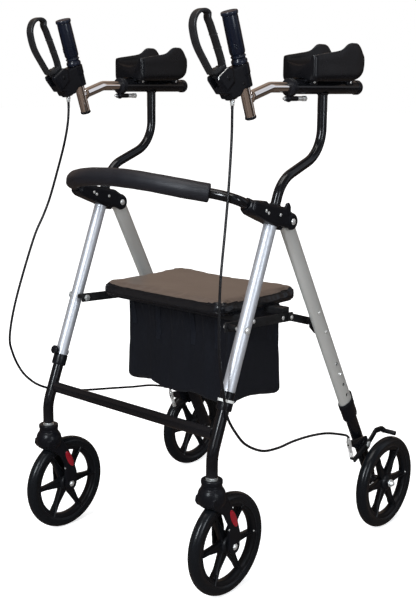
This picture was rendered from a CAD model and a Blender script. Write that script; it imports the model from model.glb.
# %% [markdown]
# A walking frame on four wheels, whose user rests both forearms in padded gutters. The measured
# model comes in as a fixed frame, and this lesson dresses it: every tube, moulding and pad is
# remade in its place with the smoothness, edges and finish of the real thing.

# %% Load the frame
import math

import bmesh
import bpy
from mathutils import Matrix, Vector
from mathutils.bvhtree import BVHTree


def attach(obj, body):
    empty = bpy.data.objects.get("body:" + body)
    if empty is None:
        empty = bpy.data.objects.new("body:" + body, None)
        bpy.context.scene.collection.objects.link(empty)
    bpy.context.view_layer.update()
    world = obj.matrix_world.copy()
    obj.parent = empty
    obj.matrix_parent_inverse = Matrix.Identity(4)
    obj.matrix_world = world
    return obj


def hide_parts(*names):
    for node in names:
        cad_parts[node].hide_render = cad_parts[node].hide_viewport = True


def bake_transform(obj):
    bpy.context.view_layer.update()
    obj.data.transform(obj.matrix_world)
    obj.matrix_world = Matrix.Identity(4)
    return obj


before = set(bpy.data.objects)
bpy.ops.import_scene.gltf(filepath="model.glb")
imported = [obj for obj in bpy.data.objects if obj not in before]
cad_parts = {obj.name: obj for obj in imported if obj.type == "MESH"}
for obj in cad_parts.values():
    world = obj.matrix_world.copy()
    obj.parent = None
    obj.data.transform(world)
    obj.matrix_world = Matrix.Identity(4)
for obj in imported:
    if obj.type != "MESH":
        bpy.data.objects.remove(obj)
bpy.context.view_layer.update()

# %% [markdown]
# The photograph looks at the walker from its front left, a little above it. The camera stands where
# the fitted view puts it: a place, three angles and a focal length in pixels of a 416 by 601 image.

# %% Camera
IMAGE = (416, 601)
FOCAL_PIXELS = 1028.69
MIDDLE_PIXEL = (207.92, 298.05)
CAMERA_PLACE = Vector((1.3959, -1.6051, 0.9438))
YAW, PITCH, ROLL = (math.radians(angle) for angle in (41.545, 11.725, 0.402))

camera_data = bpy.data.cameras.new("camera")
camera = bpy.data.objects.new("camera", camera_data)
bpy.context.scene.collection.objects.link(camera)
bpy.context.scene.camera = camera
turned_up = Matrix.Rotation(math.pi / 2 - PITCH, 4, "X")
camera.matrix_world = (
    Matrix.Translation(CAMERA_PLACE) @ Matrix.Rotation(YAW, 4, "Z") @ turned_up
    @ Matrix.Rotation(ROLL, 4, "Z")
)
camera_data.sensor_width = 36.0
camera_data.lens = 36.0 * FOCAL_PIXELS / IMAGE[1]
camera_data.shift_x = (IMAGE[0] / 2 - MIDDLE_PIXEL[0]) / IMAGE[1]
camera_data.shift_y = (MIDDLE_PIXEL[1] - IMAGE[1] / 2) / IMAGE[1]
camera_data.clip_start, camera_data.clip_end = 0.05, 50.0
bpy.context.scene.view_settings.view_transform = "Standard"
print("camera:", round(camera_data.lens, 2), "mm")

# %% [markdown]
# Three lines carry the whole walker: the front leg, the rear leg and the forearm tube. A point is
# easier to state along such a line than in room coordinates, so each line gets a helper. All three
# lie on the user's left, at +X, and the right side is a mirror image.

# %% Lines of the walker
WIDE_TUBE, LOWER_TUBE, THIN_TUBE = 0.0254, 0.022, 0.019
UP = Vector((0.0, 0.0, 1.0))
LEFT = Vector((1.0, 0.0, 0.0))
AHEAD = Vector((0.0, -1.0, 0.0))
SIDES = (("left", 1.0), ("right", -1.0))
WHEEL_RADIUS = 0.100
FRONT_AXLE = Vector((0.230, -0.234, WHEEL_RADIUS))
REAR_AXLE = Vector((0.283, 0.234, WHEEL_RADIUS))
STEM_FOOT = Vector((0.230, -0.275, 0.0))
KNEE = STEM_FOOT + UP * 0.285
FRONT_LEAN = math.radians(21.2)
LEG_UP = Vector((0.0, math.sin(FRONT_LEAN), math.cos(FRONT_LEAN)))
LEG_BACK = Vector((0.0, math.cos(FRONT_LEAN), -math.sin(FRONT_LEAN)))
LEG_FOOT, LEG_TOP = 0.102, 0.457


def on_leg(up, back=0.0, out=0.0):
    """A point in the front leg's directions: up along it from the knee, back and outwards."""
    return KNEE + LEG_UP * up + LEG_BACK * back + LEFT * out


PIVOT_UP, PIVOT_BACK = 0.4554, 0.0432
PIVOT = on_leg(PIVOT_UP, PIVOT_BACK)
REAR_LEAN = math.radians(27.794)
REAR_DOWN = Vector((0.020, math.sin(REAR_LEAN), -math.cos(REAR_LEAN))).normalized()
REAR_BACK = Vector((0.0, math.cos(REAR_LEAN), math.sin(REAR_LEAN)))
REAR_TOP = PIVOT - LEFT * 0.002
REAR_LENGTH = 0.461
AXLE_DOWN = 0.6672


def on_rear(down, back=0.0, out=0.0):
    """A point in the rear leg's directions: down along it from its pivot, back and outwards."""
    return REAR_TOP + REAR_DOWN * down + REAR_BACK * back + LEFT * out


POST_CORNER = on_leg(LEG_TOP + 0.0644)
POST_SLANT = math.radians(69.5)
POST_HEAD = POST_CORNER + Vector((0.0, math.sin(POST_SLANT), math.cos(POST_SLANT))) * 0.1318
ARM_Z = 0.940
TOE_IN = math.radians(3.1)
ARM_FOOT = Vector((KNEE.x, POST_HEAD.y, 0.0))
TOE = Matrix.Translation(ARM_FOOT) @ Matrix.Rotation(-TOE_IN, 4, "Z") @ Matrix.Translation(-ARM_FOOT)
GRIP_LEAN = math.radians(18.2)
GRIP_UP = Vector((0.0, -math.sin(GRIP_LEAN), math.cos(GRIP_LEAN)))
GRIP_AHEAD = Vector((0.0, -math.cos(GRIP_LEAN), -math.sin(GRIP_LEAN)))


def on_arm(ahead, up=0.0, out=0.0):
    """A point of the forearm tube before it is toed in: ahead of the post, above the tube's axis."""
    return Vector((KNEE.x + out, POST_HEAD.y - ahead, ARM_Z + up))


JUNCTION = on_arm(0.214, -0.019)


def on_grip(up, ahead=0.0, out=0.0):
    """A point of the handle before it is toed in: up the grip's axis, ahead of it, outwards."""
    return JUNCTION + GRIP_UP * up + GRIP_AHEAD * ahead + LEFT * out


print("pivot", [round(v, 4) for v in PIVOT], "axle check", [round(v, 4) for v in on_rear(AXLE_DOWN, 0.008)])

# %% [markdown]
# A rollator is mostly tube. A tube is a ring of vertices extruded from place to place along a route,
# so one sweep helper makes legs, posts, bars, cables and flat loops. The ring has only to be carried
# by a matrix from each place to the next.

# %% Sweeping a ring along a route


def facing(point, along, side=LEFT):
    """A matrix whose Z runs along, and whose X is as near to side as it can be."""
    z = along.normalized()
    side = UP if abs(z.dot(side)) > 0.999 else side
    x = (side - z * side.dot(z)).normalized()
    matrix = Matrix((x, z.cross(x), z)).transposed().to_4x4()
    matrix.translation = point
    return matrix


def places_along(route, side=LEFT, swell=None):
    """One matrix for each point of the route, scaled by the swell there."""
    places = []
    for i, point in enumerate(route):
        near = route[max(i - 1, 0) : i + 2]
        along = sum(((b - a).normalized() for a, b in zip(near, near[1:])), Vector())
        size = swell(i / (len(route) - 1)) if swell else 1.0
        places.append(facing(point, along, side) @ Matrix.Scale(size, 4))
    return places


def sweep(route, width, depth=None, sides=32, side=LEFT, swell=None, caps=True, turn=0.0):
    """A ring of the given width and depth, extruded along the route and closed at both ends."""
    bm = bmesh.new()
    flat = sides == 4
    reach = math.sqrt(0.5) if flat else 0.5
    ring = bmesh.ops.create_circle(bm, segments=sides, radius=reach)["verts"]
    spun = Matrix.Rotation(math.pi / 4 if flat else turn, 4, "Z")
    bmesh.ops.transform(bm, matrix=spun, verts=ring)
    bmesh.ops.scale(bm, vec=(width, depth or width, 1.0), verts=ring)
    places = places_along(route, side, swell)
    bmesh.ops.transform(bm, matrix=places[0], verts=ring)
    first = edges = list(bm.edges)
    for was, now in zip(places, places[1:]):
        made = bmesh.ops.extrude_edge_only(bm, edges=edges)["geom"]
        ring = {item for item in made if isinstance(item, bmesh.types.BMVert)}
        edges = [e for e in made if isinstance(e, bmesh.types.BMEdge) and set(e.verts) <= ring]
        bmesh.ops.transform(bm, matrix=now @ was.inverted(), verts=list(ring))
    if caps:
        bmesh.ops.holes_fill(bm, edges=first + edges, sides=0)
    return bm


def rod(start, end, width, sides=32, **options):
    return sweep([Vector(start), Vector(end)], width, sides=sides, **options)


def across(point, inner, outer, width, sides=32, **options):
    """A rod along X through the point, from the inner x to the outer one."""
    return rod((inner, point.y, point.z), (outer, point.y, point.z), width, sides, **options)


def bent(corners, radius, steps=10):
    """The route through the corners, each rounded to the radius by an arc."""
    route = [corners[0]]
    for before, corner, after in zip(corners, corners[1:], corners[2:]):
        into, out = (before - corner).normalized(), (after - corner).normalized()
        half = into.angle(out) / 2
        reach = radius / math.tan(half)
        centre = corner + (into + out).normalized() * radius / math.sin(half)
        start = corner + into * reach - centre
        normal = start.cross(corner + out * reach - centre).normalized()
        for i in range(steps + 1):
            turn = Matrix.Rotation((math.pi - 2 * half) * i / steps, 3, normal)
            route.append(centre + turn @ start)
    return route + [corners[-1]]


def through(points, count):
    """Count points, evenly spaced along a smooth curve through the given points."""
    fine = []
    for i in range(len(points) - 1):
        p0, p1 = points[max(i - 1, 0)], points[i]
        p2, p3 = points[i + 1], points[min(i + 2, len(points) - 1)]
        for k in range(12):
            t = k / 12
            bow = (2 * p0 - 5 * p1 + 4 * p2 - p3) * t * t + (3 * p1 - p0 - 3 * p2 + p3) * t**3
            fine.append(0.5 * (2 * p1 + (p2 - p0) * t + bow))
    fine.append(points[-1])
    lengths = [0.0]
    for a, b in zip(fine, fine[1:]):
        lengths.append(lengths[-1] + (b - a).length)
    route, j = [], 0
    for i in range(count):
        wanted = lengths[-1] * i / (count - 1)
        while j < len(fine) - 2 and lengths[j + 1] < wanted:
            j += 1
        share = (wanted - lengths[j]) / (lengths[j + 1] - lengths[j])
        route.append(fine[j].lerp(fine[j + 1], min(max(share, 0.0), 1.0)))
    return route


def run_length(route):
    return sum((b - a).length for a, b in zip(route, route[1:]))


# %% [markdown]
# Caps, collars, nuts, wheels and grips are turned parts: a profile spun about an axis. Brackets and
# forks are moulded plates: an outline pushed to a thickness, with its sharp edges bevelled, because
# real mouldings have no sharp edge. Holes are carved with the Boolean modifier and applied at once.

# %% Turning, plates, rounding and carving


def lathe(profile, place=Matrix.Identity(4), steps=48, ring=False):
    """Spins (radius, height) points about the Z axis of place; a ring joins its last point to its first."""
    bm = bmesh.new()
    corners = [bm.verts.new((radius, 0.0, height)) for radius, height in profile]
    pairs = list(zip(corners, corners[1:])) + ([(corners[-1], corners[0])] if ring else [])
    edges = [bm.edges.new(pair) for pair in pairs]
    bmesh.ops.spin(
        bm, geom=corners + edges, axis=UP, cent=(0, 0, 0), angle=2 * math.pi, steps=steps, use_merge=True
    )
    bmesh.ops.remove_doubles(bm, verts=bm.verts, dist=1e-6)
    bmesh.ops.transform(bm, matrix=place, verts=bm.verts)
    return bm


def plate(outline, middle, thickness):
    """A flat piece with its outline in Y and Z, and its thickness along X round the middle."""
    bm = bmesh.new()
    corners = [bm.verts.new((middle - thickness / 2, y, z)) for y, z in outline]
    pushed = bmesh.ops.extrude_face_region(bm, geom=[bm.faces.new(corners)])["geom"]
    moved = [item for item in pushed if isinstance(item, bmesh.types.BMVert)]
    bmesh.ops.translate(bm, verts=moved, vec=(thickness, 0.0, 0.0))
    bmesh.ops.recalc_face_normals(bm, faces=bm.faces)
    return bm


def box(low, high):
    bm = bmesh.new()
    bmesh.ops.create_cube(bm, size=1.0)
    low, high = Vector(low), Vector(high)
    bmesh.ops.scale(bm, vec=high - low, verts=bm.verts)
    bmesh.ops.translate(bm, vec=(low + high) / 2, verts=bm.verts)
    return bm


def rounded(bm, width, segments=3, angle=25.0, chosen=None):
    """Bevels the edges that turn by more than the angle, or only the chosen ones."""
    bmesh.ops.remove_doubles(bm, verts=bm.verts, dist=1e-6)
    sharp = [e for e in bm.edges if len(e.link_faces) == 2 and e.calc_face_angle(0.0) > math.radians(angle)]
    if chosen:
        sharp = [e for e in sharp if chosen(e)]
    bmesh.ops.bevel(
        bm, geom=sharp, offset=width, segments=segments, profile=0.5, affect="EDGES",
        clamp_overlap=True, material=-1
    )
    return bm


def together(*parts):
    whole = bmesh.new()
    for part in parts:
        mesh = bpy.data.meshes.new("part")
        bmesh.ops.recalc_face_normals(part, faces=part.faces)
        part.to_mesh(mesh)
        part.free()
        whole.from_mesh(mesh)
        bpy.data.meshes.remove(mesh)
    return whole


def loose_object(bm):
    bmesh.ops.recalc_face_normals(bm, faces=bm.faces)
    mesh = bpy.data.meshes.new("loose")
    bm.to_mesh(mesh)
    bm.free()
    item = bpy.data.objects.new("loose", mesh)
    bpy.context.scene.collection.objects.link(item)
    return item


def carved(bm, *tools, operation="DIFFERENCE"):
    """The mesh with each tool cut out of it, or welded on to it."""
    body = loose_object(bm)
    helpers = [loose_object(tool) for tool in tools]
    for helper in helpers:
        change = body.modifiers.new("change", "BOOLEAN")
        change.operation, change.solver, change.object = operation, "EXACT", helper
    graph = bpy.context.evaluated_depsgraph_get()
    result = bmesh.new()
    result.from_object(body, graph)
    for item in [body, *helpers]:
        mesh = item.data
        bpy.data.objects.remove(item, do_unlink=True)
        bpy.data.meshes.remove(mesh)
    return result


def welded(bm, *tools):
    return carved(bm, *tools, operation="UNION")


# %% [markdown]
# A finished piece is one object at the origin, with its place in its mesh. It rides on a body, names
# the nodes that it stands for, and gets smooth shading with sharp edges kept. Most pieces come in
# pairs, so a second helper mirrors the mesh across the middle.

# %% Finished pieces
FINISHES = {}


def piece(name, bm, body, finish, stands_for=(), angle=32.0, slot=None):
    bmesh.ops.remove_doubles(bm, verts=bm.verts, dist=1e-6)
    bmesh.ops.recalc_face_normals(bm, faces=bm.faces)
    mesh = bpy.data.meshes.new(name)
    bm.to_mesh(mesh)
    bm.free()
    mesh.shade_smooth()
    mesh.set_sharp_from_angle(angle=math.radians(angle))
    mesh.materials.append(FINISHES[finish][0])
    item = bpy.data.objects.new(name, mesh)
    bpy.context.scene.collection.objects.link(item)
    if body:
        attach(item, body)
    if stands_for:
        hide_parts(*stands_for)
    return item


def pair(name, bm, body, finish, *stands_for, **options):
    """The piece as modelled on the left, and its mirror image on the right."""
    made = []
    for side, sign in SIDES:
        copy = bm.copy()
        bmesh.ops.scale(copy, vec=(sign, 1.0, 1.0), verts=copy.verts)
        nodes = [node.format(side) for node in stands_for]
        made.append(piece(f"{name}_{side}", copy, body.format(side), finish, nodes, **options))
    bm.free()
    return made


def toed(bm):
    bmesh.ops.transform(bm, matrix=TOE, verts=bm.verts)
    return bm


# %% [markdown]
# The finishes come before the pieces. An effect that several of them share is a node group: slow
# colour drift, rubbed edges, moulding grain, drawing lines along a tube, leather grain, foam cells
# and plain weave. A group puts out only colours, masks and heights, and each material places it with
# its own scale. Real mouldings and tubes are never one even colour, and the drift shows that.

# %% Tools for nodes


def node(tree, kind, sockets=None, **settings):
    """Adds a node, sets its options, and fills its sockets with values or with other outputs."""
    made = tree.nodes.new(kind)
    for key, value in settings.items():
        setattr(made, key, value)
    for key, value in (sockets or {}).items():
        if isinstance(value, bpy.types.NodeSocket):
            tree.links.new(value, made.inputs[key])
        else:
            made.inputs[key].default_value = value
    return made


def new_group(name, inputs, outputs):
    group = bpy.data.node_groups.new(name, "ShaderNodeTree")
    for label, kind, value in inputs:
        socket = group.interface.new_socket(label, in_out="INPUT", socket_type=kind)
        if value is not None:
            socket.default_value = value
    for label, kind in outputs:
        group.interface.new_socket(label, in_out="OUTPUT", socket_type=kind)
    return group, group.nodes.new("NodeGroupInput").outputs, group.nodes.new("NodeGroupOutput").inputs


# %% Group: slow drift of colour and gloss
VECTOR, FLOAT, COLOUR = "NodeSocketVector", "NodeSocketFloat", "NodeSocketColor"
drift_group, given, put = new_group(
    "Slow drift",
    [("Vector", VECTOR, None), ("Colour", COLOUR, None), ("Scale", FLOAT, 12.0), ("Amount", FLOAT, 0.1),
     ("Gloss low", FLOAT, 0.3), ("Gloss high", FLOAT, 0.4)],
    [("Colour", COLOUR), ("Roughness", FLOAT)],
)
cloud = node(
    drift_group, "ShaderNodeTexNoise",
    {"Vector": given["Vector"], "Scale": given["Scale"], "Detail": 5.0},
)
centred = node(drift_group, "ShaderNodeMath", {0: cloud.outputs["Fac"], 1: 0.5}, operation="SUBTRACT")
scaled = node(
    drift_group, "ShaderNodeMath", {0: centred.outputs[0], 1: given["Amount"]}, operation="MULTIPLY",
)
value = node(drift_group, "ShaderNodeMath", {0: scaled.outputs[0], 1: 1.0}, operation="ADD")
tinted = node(drift_group, "ShaderNodeHueSaturation", {"Color": given["Colour"], "Value": value.outputs[0]})
gloss = node(
    drift_group, "ShaderNodeMapRange",
    {"Value": cloud.outputs["Fac"], "From Min": 0.3, "From Max": 0.7, "To Min": given["Gloss low"],
     "To Max": given["Gloss high"]},
)
drift_group.links.new(tinted.outputs["Color"], put["Colour"])
drift_group.links.new(gloss.outputs["Result"], put["Roughness"])

# %% Group: rubbed edges
rub_group, given, put = new_group(
    "Rubbed edges",
    [
        ("Vector", VECTOR, None), ("Colour", COLOUR, None), ("Rubbed colour", COLOUR, None),
        ("Amount", FLOAT, 0.4),
    ],
    [("Colour", COLOUR), ("Mask", FLOAT)],
)
shape = node(rub_group, "ShaderNodeNewGeometry")
edge = node(
    rub_group, "ShaderNodeMapRange",
    {"Value": shape.outputs["Pointiness"], "From Min": 0.53, "From Max": 0.60, "To Min": 0.0, "To Max": 1.0},
)
patch = node(rub_group, "ShaderNodeTexNoise", {"Vector": given["Vector"], "Scale": 90.0, "Detail": 4.0})
broken = node(
    rub_group, "ShaderNodeMath", {0: edge.outputs[0], 1: patch.outputs["Fac"]}, operation="MULTIPLY",
)
mask = node(rub_group, "ShaderNodeMath", {0: broken.outputs[0], 1: given["Amount"]}, operation="MULTIPLY")
worn = node(
    rub_group, "ShaderNodeMix", {"Factor": mask.outputs[0], 6: given["Colour"], 7: given["Rubbed colour"]},
    data_type="RGBA",
)
rub_group.links.new(worn.outputs[2], put["Colour"])
rub_group.links.new(mask.outputs[0], put["Mask"])

# %% Groups: moulding grain, drawing lines, leather grain, foam cells
grain_group, given, put = new_group(
    "Moulding grain", [("Vector", VECTOR, None), ("Scale", FLOAT, 900.0)], [("Height", FLOAT)],
)
speck = node(
    grain_group, "ShaderNodeTexNoise",
    {"Vector": given["Vector"], "Scale": given["Scale"], "Detail": 3.0},
)
grain_group.links.new(speck.outputs["Fac"], put["Height"])

lines_group, given, put = new_group(
    "Drawing lines", [("Vector", VECTOR, None), ("Scale", FLOAT, 500.0)], [("Height", FLOAT)],
)
streak = node(
    lines_group, "ShaderNodeTexNoise",
    {"Vector": given["Vector"], "Scale": given["Scale"], "Detail": 2.0},
)
lines_group.links.new(streak.outputs["Fac"], put["Height"])

hide_group, given, put = new_group(
    "Leather grain", [("Vector", VECTOR, None), ("Scale", FLOAT, 450.0)], [("Height", FLOAT)],
)
pebble = node(
    hide_group, "ShaderNodeTexVoronoi",
    {"Vector": given["Vector"], "Scale": given["Scale"], "Randomness": 0.9},
    feature="SMOOTH_F1",
)
crease = node(hide_group, "ShaderNodeTexNoise", {"Vector": given["Vector"], "Scale": 60.0, "Detail": 4.0})
mixed = node(
    hide_group, "ShaderNodeMath", {0: crease.outputs["Fac"], 1: pebble.outputs["Distance"]},
    operation="SUBTRACT",
)
hide_group.links.new(mixed.outputs[0], put["Height"])

foam_group, given, put = new_group(
    "Foam cells", [("Vector", VECTOR, None), ("Scale", FLOAT, 700.0)], [("Height", FLOAT)],
)
cell = node(
    foam_group, "ShaderNodeTexVoronoi", {"Vector": given["Vector"], "Scale": given["Scale"]},
    feature="F1",
)
dimple = node(foam_group, "ShaderNodeTexNoise", {"Vector": given["Vector"], "Scale": 120.0, "Detail": 3.0})
pitted = node(
    foam_group, "ShaderNodeMath", {0: cell.outputs["Distance"], 1: dimple.outputs["Fac"]},
    operation="ADD",
)
foam_group.links.new(pitted.outputs[0], put["Height"])

# %% Group: plain weave
weave_group, given, put = new_group(
    "Plain weave", [("Vector", VECTOR, None), ("Scale", FLOAT, 2400.0)], [("Height", FLOAT)],
)
parts = node(weave_group, "ShaderNodeSeparateXYZ", {0: given["Vector"]})
across_sum = node(
    weave_group, "ShaderNodeMath", {0: parts.outputs["X"], 1: parts.outputs["Y"]}, operation="ADD",
)
waves = []
for run in (across_sum.outputs[0], parts.outputs["Z"]):
    phase = node(weave_group, "ShaderNodeMath", {0: run, 1: given["Scale"]}, operation="MULTIPLY")
    waves.append(node(weave_group, "ShaderNodeMath", {0: phase.outputs[0]}, operation="SINE").outputs[0])
crossing = node(weave_group, "ShaderNodeMath", {0: waves[0], 1: waves[1]}, operation="MULTIPLY")
weave_group.links.new(crossing.outputs[0], put["Height"])
print("node groups:", [group.name for group in bpy.data.node_groups])

# %% [markdown]
# Each finish is one Principled surface. Colour passes through the drift and the rubbed edges, gloss
# varies with the drift, and one relief group gives the touch of the surface at its real depth: a few
# hundredths of a millimetre on a moulding, about a tenth on leathercloth, foam and cloth.

# %% A finish
RELIEFS = {
    "grain": grain_group, "lines": lines_group, "hide": hide_group, "foam": foam_group,
    "weave": weave_group,
}


def finish(
    name, slot, colour, gloss, relief=None, metallic=0.0, drift=(14.0, 0.25), rub=None, lean=None,
    **shader_values,
):
    """Makes a material: relief is (kind, scale, depth), and lean turns the drawing lines along a tube."""
    material = bpy.data.materials.new(name)
    material.use_nodes = True
    tree = material.node_tree
    shader = tree.nodes["Principled BSDF"]
    spot = node(tree, "ShaderNodeTexCoord").outputs["Object"]
    passed = node(
        tree, "ShaderNodeGroup",
        node_tree=drift_group,
    )
    tree.links.new(spot, passed.inputs["Vector"])
    passed.inputs["Colour"].default_value = (*colour, 1.0)
    passed.inputs["Scale"].default_value, passed.inputs["Amount"].default_value = drift
    passed.inputs["Gloss low"].default_value, passed.inputs["Gloss high"].default_value = gloss
    tree.links.new(passed.outputs["Roughness"], shader.inputs["Roughness"])
    tint = passed.outputs["Colour"]
    if rub:
        worn = node(tree, "ShaderNodeGroup", node_tree=rub_group)
        tree.links.new(spot, worn.inputs["Vector"])
        tree.links.new(tint, worn.inputs["Colour"])
        worn.inputs["Rubbed colour"].default_value = (*rub[0], 1.0)
        worn.inputs["Amount"].default_value = rub[1]
        tint = worn.outputs["Colour"]
    tree.links.new(tint, shader.inputs["Base Color"])
    shader.inputs["Metallic"].default_value = metallic
    for key, amount in shader_values.items():
        shader.inputs[key.replace("_", " ").title().replace("Ior", "IOR")].default_value = amount
    if relief:
        kind, scale, depth = relief
        touched = node(tree, "ShaderNodeGroup", node_tree=RELIEFS[kind])
        source = spot
        if lean is not None:
            turned = node(tree, "ShaderNodeMapping", {"Vector": spot, "Rotation": (lean, 0.0, 0.0)})
            drawn = node(tree, "ShaderNodeMapping", {"Vector": turned.outputs[0], "Scale": (1.0, 1.0, 0.01)})
            source = drawn.outputs[0]
        tree.links.new(source, touched.inputs["Vector"])
        touched.inputs["Scale"].default_value = scale
        bump = node(
            tree, "ShaderNodeBump",
            {"Height": touched.outputs["Height"], "Strength": 1.0, "Distance": depth},
        )
        tree.links.new(bump.outputs["Normal"], shader.inputs["Normal"])
    material.diffuse_color = (*colour, 1.0)
    FINISHES[name] = (material, slot)
    return material


# %% [markdown]
# The front legs are bright silver anodised tube, the rear legs a duller satin one. Posts, lower
# tubes and the crossbar are gloss black paint. Mouldings are black with a faint grain. The seat is a
# dark brown leathercloth that looks paler where it mirrors the room.

# %% The finishes of this walker
DULL = {"specular_ior_level": 0.16}
finish(
    "bright silver", "silver_tube", (0.50, 0.515, 0.55), (0.40, 0.48), ("lines", 700.0, 0.00001),
    metallic=0.62, drift=(9.0, 0.10), lean=FRONT_LEAN,
)
finish(
    "satin silver", "satin_tube", (0.63, 0.63, 0.605), (0.36, 0.44), ("lines", 700.0, 0.00002),
    metallic=0.62, drift=(9.0, 0.12), lean=-REAR_LEAN,
)
finish("gloss black paint", "black_metal", (0.0035, 0.0038, 0.005), (0.16, 0.24), ("grain", 260.0, 0.00001),
       drift=(20.0, 0.3), rub=((0.04, 0.04, 0.045), 0.3), coat_weight=0.30, coat_roughness=0.06, **DULL)
finish("satin black steel", "black_metal", (0.004, 0.004, 0.005), (0.26, 0.36), ("grain", 500.0, 0.00003),
       drift=(30.0, 0.3), rub=((0.05, 0.05, 0.05), 0.5), **DULL)
finish("black moulding", "black_plastic", (0.0042, 0.0045, 0.0062), (0.26, 0.36), ("grain", 1100.0, 0.00004),
       drift=(18.0, 0.3), rub=((0.030, 0.030, 0.034), 0.5), **DULL)
finish("grey-black lever", "black_plastic", (0.012, 0.012, 0.013), (0.28, 0.38), ("grain", 900.0, 0.00005),
       drift=(22.0, 0.25), rub=((0.06, 0.06, 0.06), 0.6), specular_ior_level=0.30)
finish("forearm foam skin", "black_plastic", (0.0038, 0.0040, 0.0052), (0.24, 0.32), ("hide", 900.0, 0.00003),
       drift=(16.0, 0.3), rub=((0.10, 0.10, 0.10), 0.8), specular_ior_level=0.22)
finish("grip rubber", "black_plastic", (0.004, 0.006, 0.013), (0.24, 0.32), ("grain", 1300.0, 0.00004),
       drift=(24.0, 0.3), rub=((0.05, 0.06, 0.08), 0.5), specular_ior_level=0.30)
finish(
    "tyre rubber", "tyre", (0.0045, 0.0055, 0.0070), (0.20, 0.27), ("grain", 500.0, 0.00003),
    drift=(30.0, 0.3), specular_ior_level=0.22,
)
finish(
    "wheel nylon", "tyre", (0.0045, 0.0048, 0.0060), (0.28, 0.38), ("grain", 900.0, 0.00005),
    drift=(26.0, 0.3), rub=((0.030, 0.030, 0.034), 0.6), **DULL,
)
finish(
    "chrome", "chrome", (0.80, 0.76, 0.73), (0.05, 0.10), ("grain", 90.0, 0.00002), metallic=1.0,
    drift=(16.0, 0.08),
)
finish("bright zinc", "zinc", (0.74, 0.75, 0.74), (0.26, 0.38), ("grain", 1500.0, 0.00002), metallic=0.75,
       drift=(120.0, 0.3))
finish("pale clip", "zinc", (0.62, 0.62, 0.60), (0.30, 0.42), ("grain", 900.0, 0.00004), drift=(60.0, 0.15))
finish(
    "sleeve foam", "foam", (0.0085, 0.0090, 0.0125), (0.40, 0.50), ("foam", 1500.0, 0.00010),
    drift=(30.0, 0.35), specular_ior_level=0.35,
)
finish(
    "seat leathercloth", "vinyl", (0.108, 0.079, 0.063), (0.28, 0.38), ("hide", 620.0, 0.00008),
    drift=(9.0, 0.3), rub=((0.14, 0.12, 0.10), 0.4),
)
finish(
    "seat edge", "vinyl", (0.0045, 0.0052, 0.0068), (0.16, 0.24), ("hide", 620.0, 0.00008),
    drift=(12.0, 0.3), specular_ior_level=0.35,
)
finish(
    "bag cloth", "bag_cloth", (0.0045, 0.0050, 0.0078), (0.66, 0.80), ("weave", 3000.0, 0.00010),
    drift=(10.0, 0.5), sheen_weight=0.03, specular_ior_level=0.12,
)
finish(
    "webbing", "bag_cloth", (0.0045, 0.0060, 0.0105), (0.50, 0.64), ("weave", 4200.0, 0.00016),
    drift=(30.0, 0.4), specular_ior_level=0.2,
)
finish(
    "cable sheath", "cable", (0.005, 0.005, 0.006), (0.24, 0.34), ("grain", 700.0, 0.00004),
    drift=(20.0, 0.3), specular_ior_level=0.25,
)
finish("reflector red", "black_plastic", (0.24, 0.004, 0.012), (0.14, 0.22), ("hide", 500.0, 0.00030),
       drift=(60.0, 0.4), coat_weight=0.4, coat_roughness=0.08)
print("finishes:", len(FINISHES))

# %% [markdown]
# A brake cable runs from each lever housing to the brake over the rear wheel. It is one smooth curve
# of 5 mm sheathed cable. It crosses four sliding or folding joints, so it is made in four stretches,
# end to end, each of which bends across one joint.

# %% Brake cables
CABLE_WIDTH = 0.005
BRAKE_X = 0.262
BRAKE_PIVOT = on_rear(0.569)
BRAKE_END = Vector((BRAKE_X, BRAKE_PIVOT.y - 0.052, BRAKE_PIVOT.z - 0.023))
STOP = Vector((BRAKE_X - 0.0043, BRAKE_END.y - 0.013, BRAKE_END.z + 0.038))
PULL = Vector((0.0, STOP.y - BRAKE_END.y, STOP.z - BRAKE_END.z)).normalized()
COLLAR_MIDDLE = on_leg(LEG_FOOT - 0.0015)
CLIP = COLLAR_MIDDLE + Matrix.Rotation(math.radians(-52), 3, "Z") @ (LEFT * 0.0224)
CABLE_TOP = TOE @ (on_grip(0.0, 0.039) - UP * 0.0003)
CABLE_FOOT = STOP + PULL * 0.0093
CABLE_ROUTES = {
    "left": [
        CABLE_TOP, CABLE_TOP - UP * 0.015, (0.2165, -0.2145, 0.850), (0.220, -0.225, 0.766),
        (0.223, -0.237, 0.692),
        (0.228, -0.2545, 0.596), (0.234, -0.2635, 0.500), (0.239, -0.2640, 0.442),
        CLIP + Vector((-0.002, -0.004, 0.030)),
        CLIP, (0.2490, -0.2535, 0.353), (0.2500, -0.2330, 0.322), (0.2505, -0.2040, 0.292),
        (0.2510, -0.1560, 0.267),
        (0.2515, -0.1080, 0.260), (0.252, -0.0590, 0.261), (0.254, -0.0090, 0.259), (0.256, 0.0430, 0.252),
        (0.2575, 0.0860, 0.240), CABLE_FOOT + PULL * 0.012, CABLE_FOOT,
    ],
    "right": [
        CABLE_TOP, CABLE_TOP - UP * 0.015, (0.2170, -0.2160, 0.866), (0.2220, -0.2200, 0.832),
        (0.2320, -0.2250, 0.792),
        (0.2480, -0.2400, 0.718), (0.2570, -0.2520, 0.679), (0.2680, -0.2720, 0.628),
        (0.2850, -0.3070, 0.507),
        (0.2910, -0.3220, 0.430), (0.2900, -0.3170, 0.392), (0.2820, -0.3020, 0.352),
        (0.2700, -0.2810, 0.325),
        (0.2580, -0.2570, 0.310), (0.2480, -0.2270, 0.300), (0.2440, -0.1670, 0.287),
        (0.2460, -0.0700, 0.270),
        (0.2480, -0.0085, 0.259), (0.2510, 0.0470, 0.250), (0.2560, 0.0900, 0.238),
        CABLE_FOOT + PULL * 0.012, CABLE_FOOT,
    ],
}


def first_after(route, test):
    return next(i for i, point in enumerate(route) if test(point))


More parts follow.
